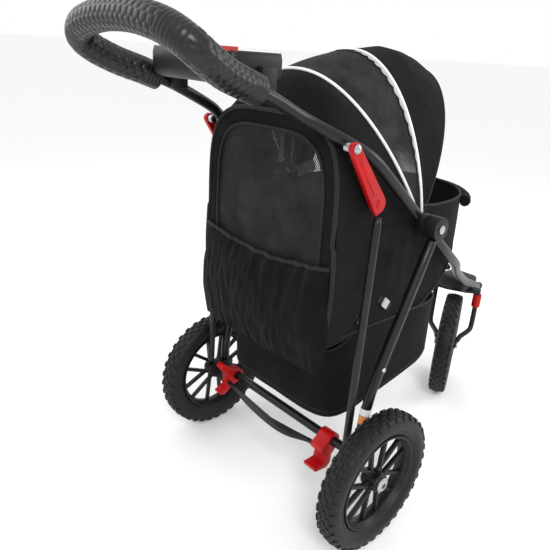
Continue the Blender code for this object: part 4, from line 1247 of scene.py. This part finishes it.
def makeBumper():
    pad = softTube("front_bumper_pad", "bumper_pad_cloth", 0.0008, 2)
    low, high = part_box("front_bumper_pad")
    middle = Vector((0, high.y, (low.z + high.z) / 2))
    for corner in pad.data.vertices:
        corner.co.y = drawnBack(corner.co.y)
        turn = math.atan2(corner.co.x, middle.y - corner.co.y)
        crease = noise.noise(Vector((turn * 30, corner.co.z * 60, 2)))
        gather = 0.0016 * math.sin(turn * 46) + 0.0012 * crease
        away = Vector((corner.co.x, corner.co.y - middle.y, 0)).normalized()
        corner.co += away * gather * 0.7
    ready(smooth(pad, 60), "frame", finishes["fabric"], "fabric_black", "front_bumper_pad")


makeCushion()
makeBumper()
print("pads ready")


# basket

basketLow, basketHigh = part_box("basket")
basket = {
    "rearTop": 0.394, "rise": 0.059, "cloth": 0.0016, "sag": 0.006,
}


def makeBasket():
    wide = basketHigh.x - 0.001
    rearY, frontY = basketHigh.y, basketLow.y
    middleY = (rearY + frontY) / 2

    def bottomAt(y):
        return basketLow.z + basket["rise"] * (rearY - y) / (rearY - frontY)

    def ring(turn, shrink):
        # rounded rectangle in plan
        power = 6.0
        c, s = math.cos(turn), math.sin(turn)
        x = math.copysign(abs(c) ** (2 / power), c) * wide * shrink
        y = middleY + math.copysign(abs(s) ** (2 / power), s) * (rearY - frontY) / 2 * shrink
        return x, y

    def tub(u, v):
        turn = 2 * math.pi * u + math.pi / 2
        if v < 0.45:
            x, y = ring(turn, (v / 0.45) ** 0.8 * 0.90 + 0.0001)
            z = bottomAt(y) + 0.002 - basket["sag"] * (1 - (v / 0.45) ** 2)
        elif v < 0.60:
            bend = (v - 0.45) / 0.15 * math.pi / 2
            x, y = ring(turn, 0.90 + 0.10 * math.sin(bend))
            z = bottomAt(y) + 0.002 + 0.024 * (1 - math.cos(bend))
        else:
            x, y = ring(turn, 1.0)
            top = basketHigh.z
            nearRear = max(0.0, (y - (rearY - 0.05)) / 0.05)
            top -= (basketHigh.z - basket["rearTop"]) * min(1.0, nearRear) ** 0.8
            start = bottomAt(y) + 0.026
            share = (v - 0.60) / 0.40
            z = start + (top - start) * share
        point = Vector((x, y, z))
        outward = Vector((x, (y - middleY), 0)).normalized()
        depth = 0.0018 if v > 0.5 else 0.0
        return point + outward * (ripple((x, y, z * 0.4), 26.0, depth, 3.0) - 0.0006)

    cloth = sheetFrom("basket_cloth", tub, 240, 60)
    pick(cloth)
    bpy.ops.object.mode_set(mode="EDIT")
    bpy.ops.mesh.select_all(action="SELECT")
    bpy.ops.mesh.remove_doubles(threshold=0.00012)
    bpy.ops.object.mode_set(mode="OBJECT")
    thickened(cloth, basket["cloth"])
    ready(smooth(cloth, 60), "frame", finishes["fabric"], "fabric_black", "basket")
    edge = [tub(i / 200, 1.0) for i in range(200)]
    trimAlong("basket_top_binding", edge, 0.0030, closed=True)
    seam = [tub(i / 200, 0.60) for i in range(200)]
    trimAlong("basket_seam", seam, 0.0014, closed=True, sides=8)


makeBasket()
print("basket ready")


# small fittings

fittings = {
    "legRivet": 0.0055, "legRivetBehind": -0.035, "legRivetZ": 0.378,
    "bracketBolt": 0.0050, "bracketBoltBehind": 0.040, "bracketBoltRise": 0.016,
    "wheelZ": 0.1525, "legX": 0.2265,
    "plug": ((0.0, 0.0040), (0.0075, 0.0036), (0.0112, 0.0010), (0.0112, -0.0030), (0.0, -0.0030)),
    "hubCap": ((0.0, 0.0), (0.006, -0.0002), (0.012, -0.0014), (0.0155, -0.0040), (0.0175, -0.0072),
               (0.0, -0.0072)),
    "bandLow": (-0.003, 0.262), "bandHigh": (-0.0075, 0.296), "bandRadii": (0.0106, 0.0113),
    "clips": ((-0.085, 0.492, "steel", "steel"), (-0.010, 0.474, "plastic", "plastic_black")),
    "clipLean": math.radians(38),
}


def dome(name, place, axis, radius, body):
    profile = ((0.0, 0.55), (0.5, 0.48), (0.88, 0.25), (1.0, 0.0))
    outline = [(radius * out, radius * rise) for out, rise in profile]
    ready(smooth(spun(name, outline, place, axis, 28, closed=False)), body, finishes["steel"], "steel")


def makeLegFittings():
    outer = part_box("rear_leg_left")[1].x
    axleY = brakeAxis.y
    for side, sign in sides:
        rivetPlace = (sign * (outer - 0.0004), axleY + fittings["legRivetBehind"], fittings["legRivetZ"])
        dome("leg_rivet_" + side, rivetPlace, (sign, 0, 0), fittings["legRivet"], "rear_legs")
        boltPlace = (sign * (outer - 0.0006), axleY + fittings["bracketBoltBehind"],
                     brakeAxis.z + fittings["bracketBoltRise"])
        dome("bracket_bolt_" + side, boltPlace, (sign, 0, 0), fittings["bracketBolt"], "rear_legs")

        tubeLow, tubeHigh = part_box("front_tube_" + side)
        endX = tubeLow.x if sign > 0 else tubeHigh.x
        tip = Vector((endX + sign * 0.0105, tubeLow.y + 0.0035, tubeLow.z + 0.0105))
        plug = spun("tube_plug_" + side, fittings["plug"], tip, (0, -0.92, -0.40), 32, closed=False)
        ready(smooth(plug, 40), "frame", finishes["plastic"], "plastic_black")

        hubLow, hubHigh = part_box("stub_axle_" + side)
        hubX = hubHigh.x if sign > 0 else hubLow.x
        cap = spun("hub_cap_" + side, fittings["hubCap"], (hubX + sign * 0.0002, axleY, fittings["wheelZ"]),
                   (sign, 0, 0), 40, closed=False)
        ready(smooth(cap, 40), "rear_legs", finishes["plastic"], "plastic_black")


def makeLegBand():
    # a plain two-tone band round the right leg
    (lowY, lowZ), (highY, highZ) = fittings["bandLow"], fittings["bandHigh"]
    lower = Vector((-fittings["legX"], brakeAxis.y + lowY, lowZ))
    upper = Vector((-fittings["legX"], brakeAxis.y + highY, highZ))
    inner, outer = fittings["bandRadii"]
    length = (upper - lower).length
    for name, finish, start, end in (("leg_band_orange", "labelOrange", 0.0, 0.55),
                                     ("leg_band_white", "piping", 0.58, 1.0)):
        outline = [(outer, length * end), (outer, length * start), (inner, length * start),
                   (inner, length * end)]
        band = spun(name, outline, lower, (upper - lower).normalized(), 40)
        ready(smooth(band), "rear_legs", finishes[finish], "fabric_black")


def makeSideClips():
    # side buckles and their webbing on the cabin wall
    turn = (fittings["clipLean"], 0, 0)
    for side, sign in sides:
        x = sign * (cabin["halfWidth"] + 0.0045)
        for i, (y, z, finish, slot) in enumerate(fittings["clips"]):
            ending = "_%s_%d" % (side, i)
            web = cube("side_web" + ending, (x, brakeAxis.y + y, z), (0.0014, 0.052, 0.016), turn,
                       bevel=0.0004)
            ready(web, "frame", finishes["binding"], "fabric_black")
            clip = cube("side_clip" + ending, (x + sign * 0.0022, brakeAxis.y + y, z), (0.0040, 0.022, 0.020),
                        turn, bevel=0.0012, segments=2)
            ready(clip, "frame", finishes[finish], slot)


makeLegFittings()
makeLegBand()
makeSideClips()
print("fittings ready")
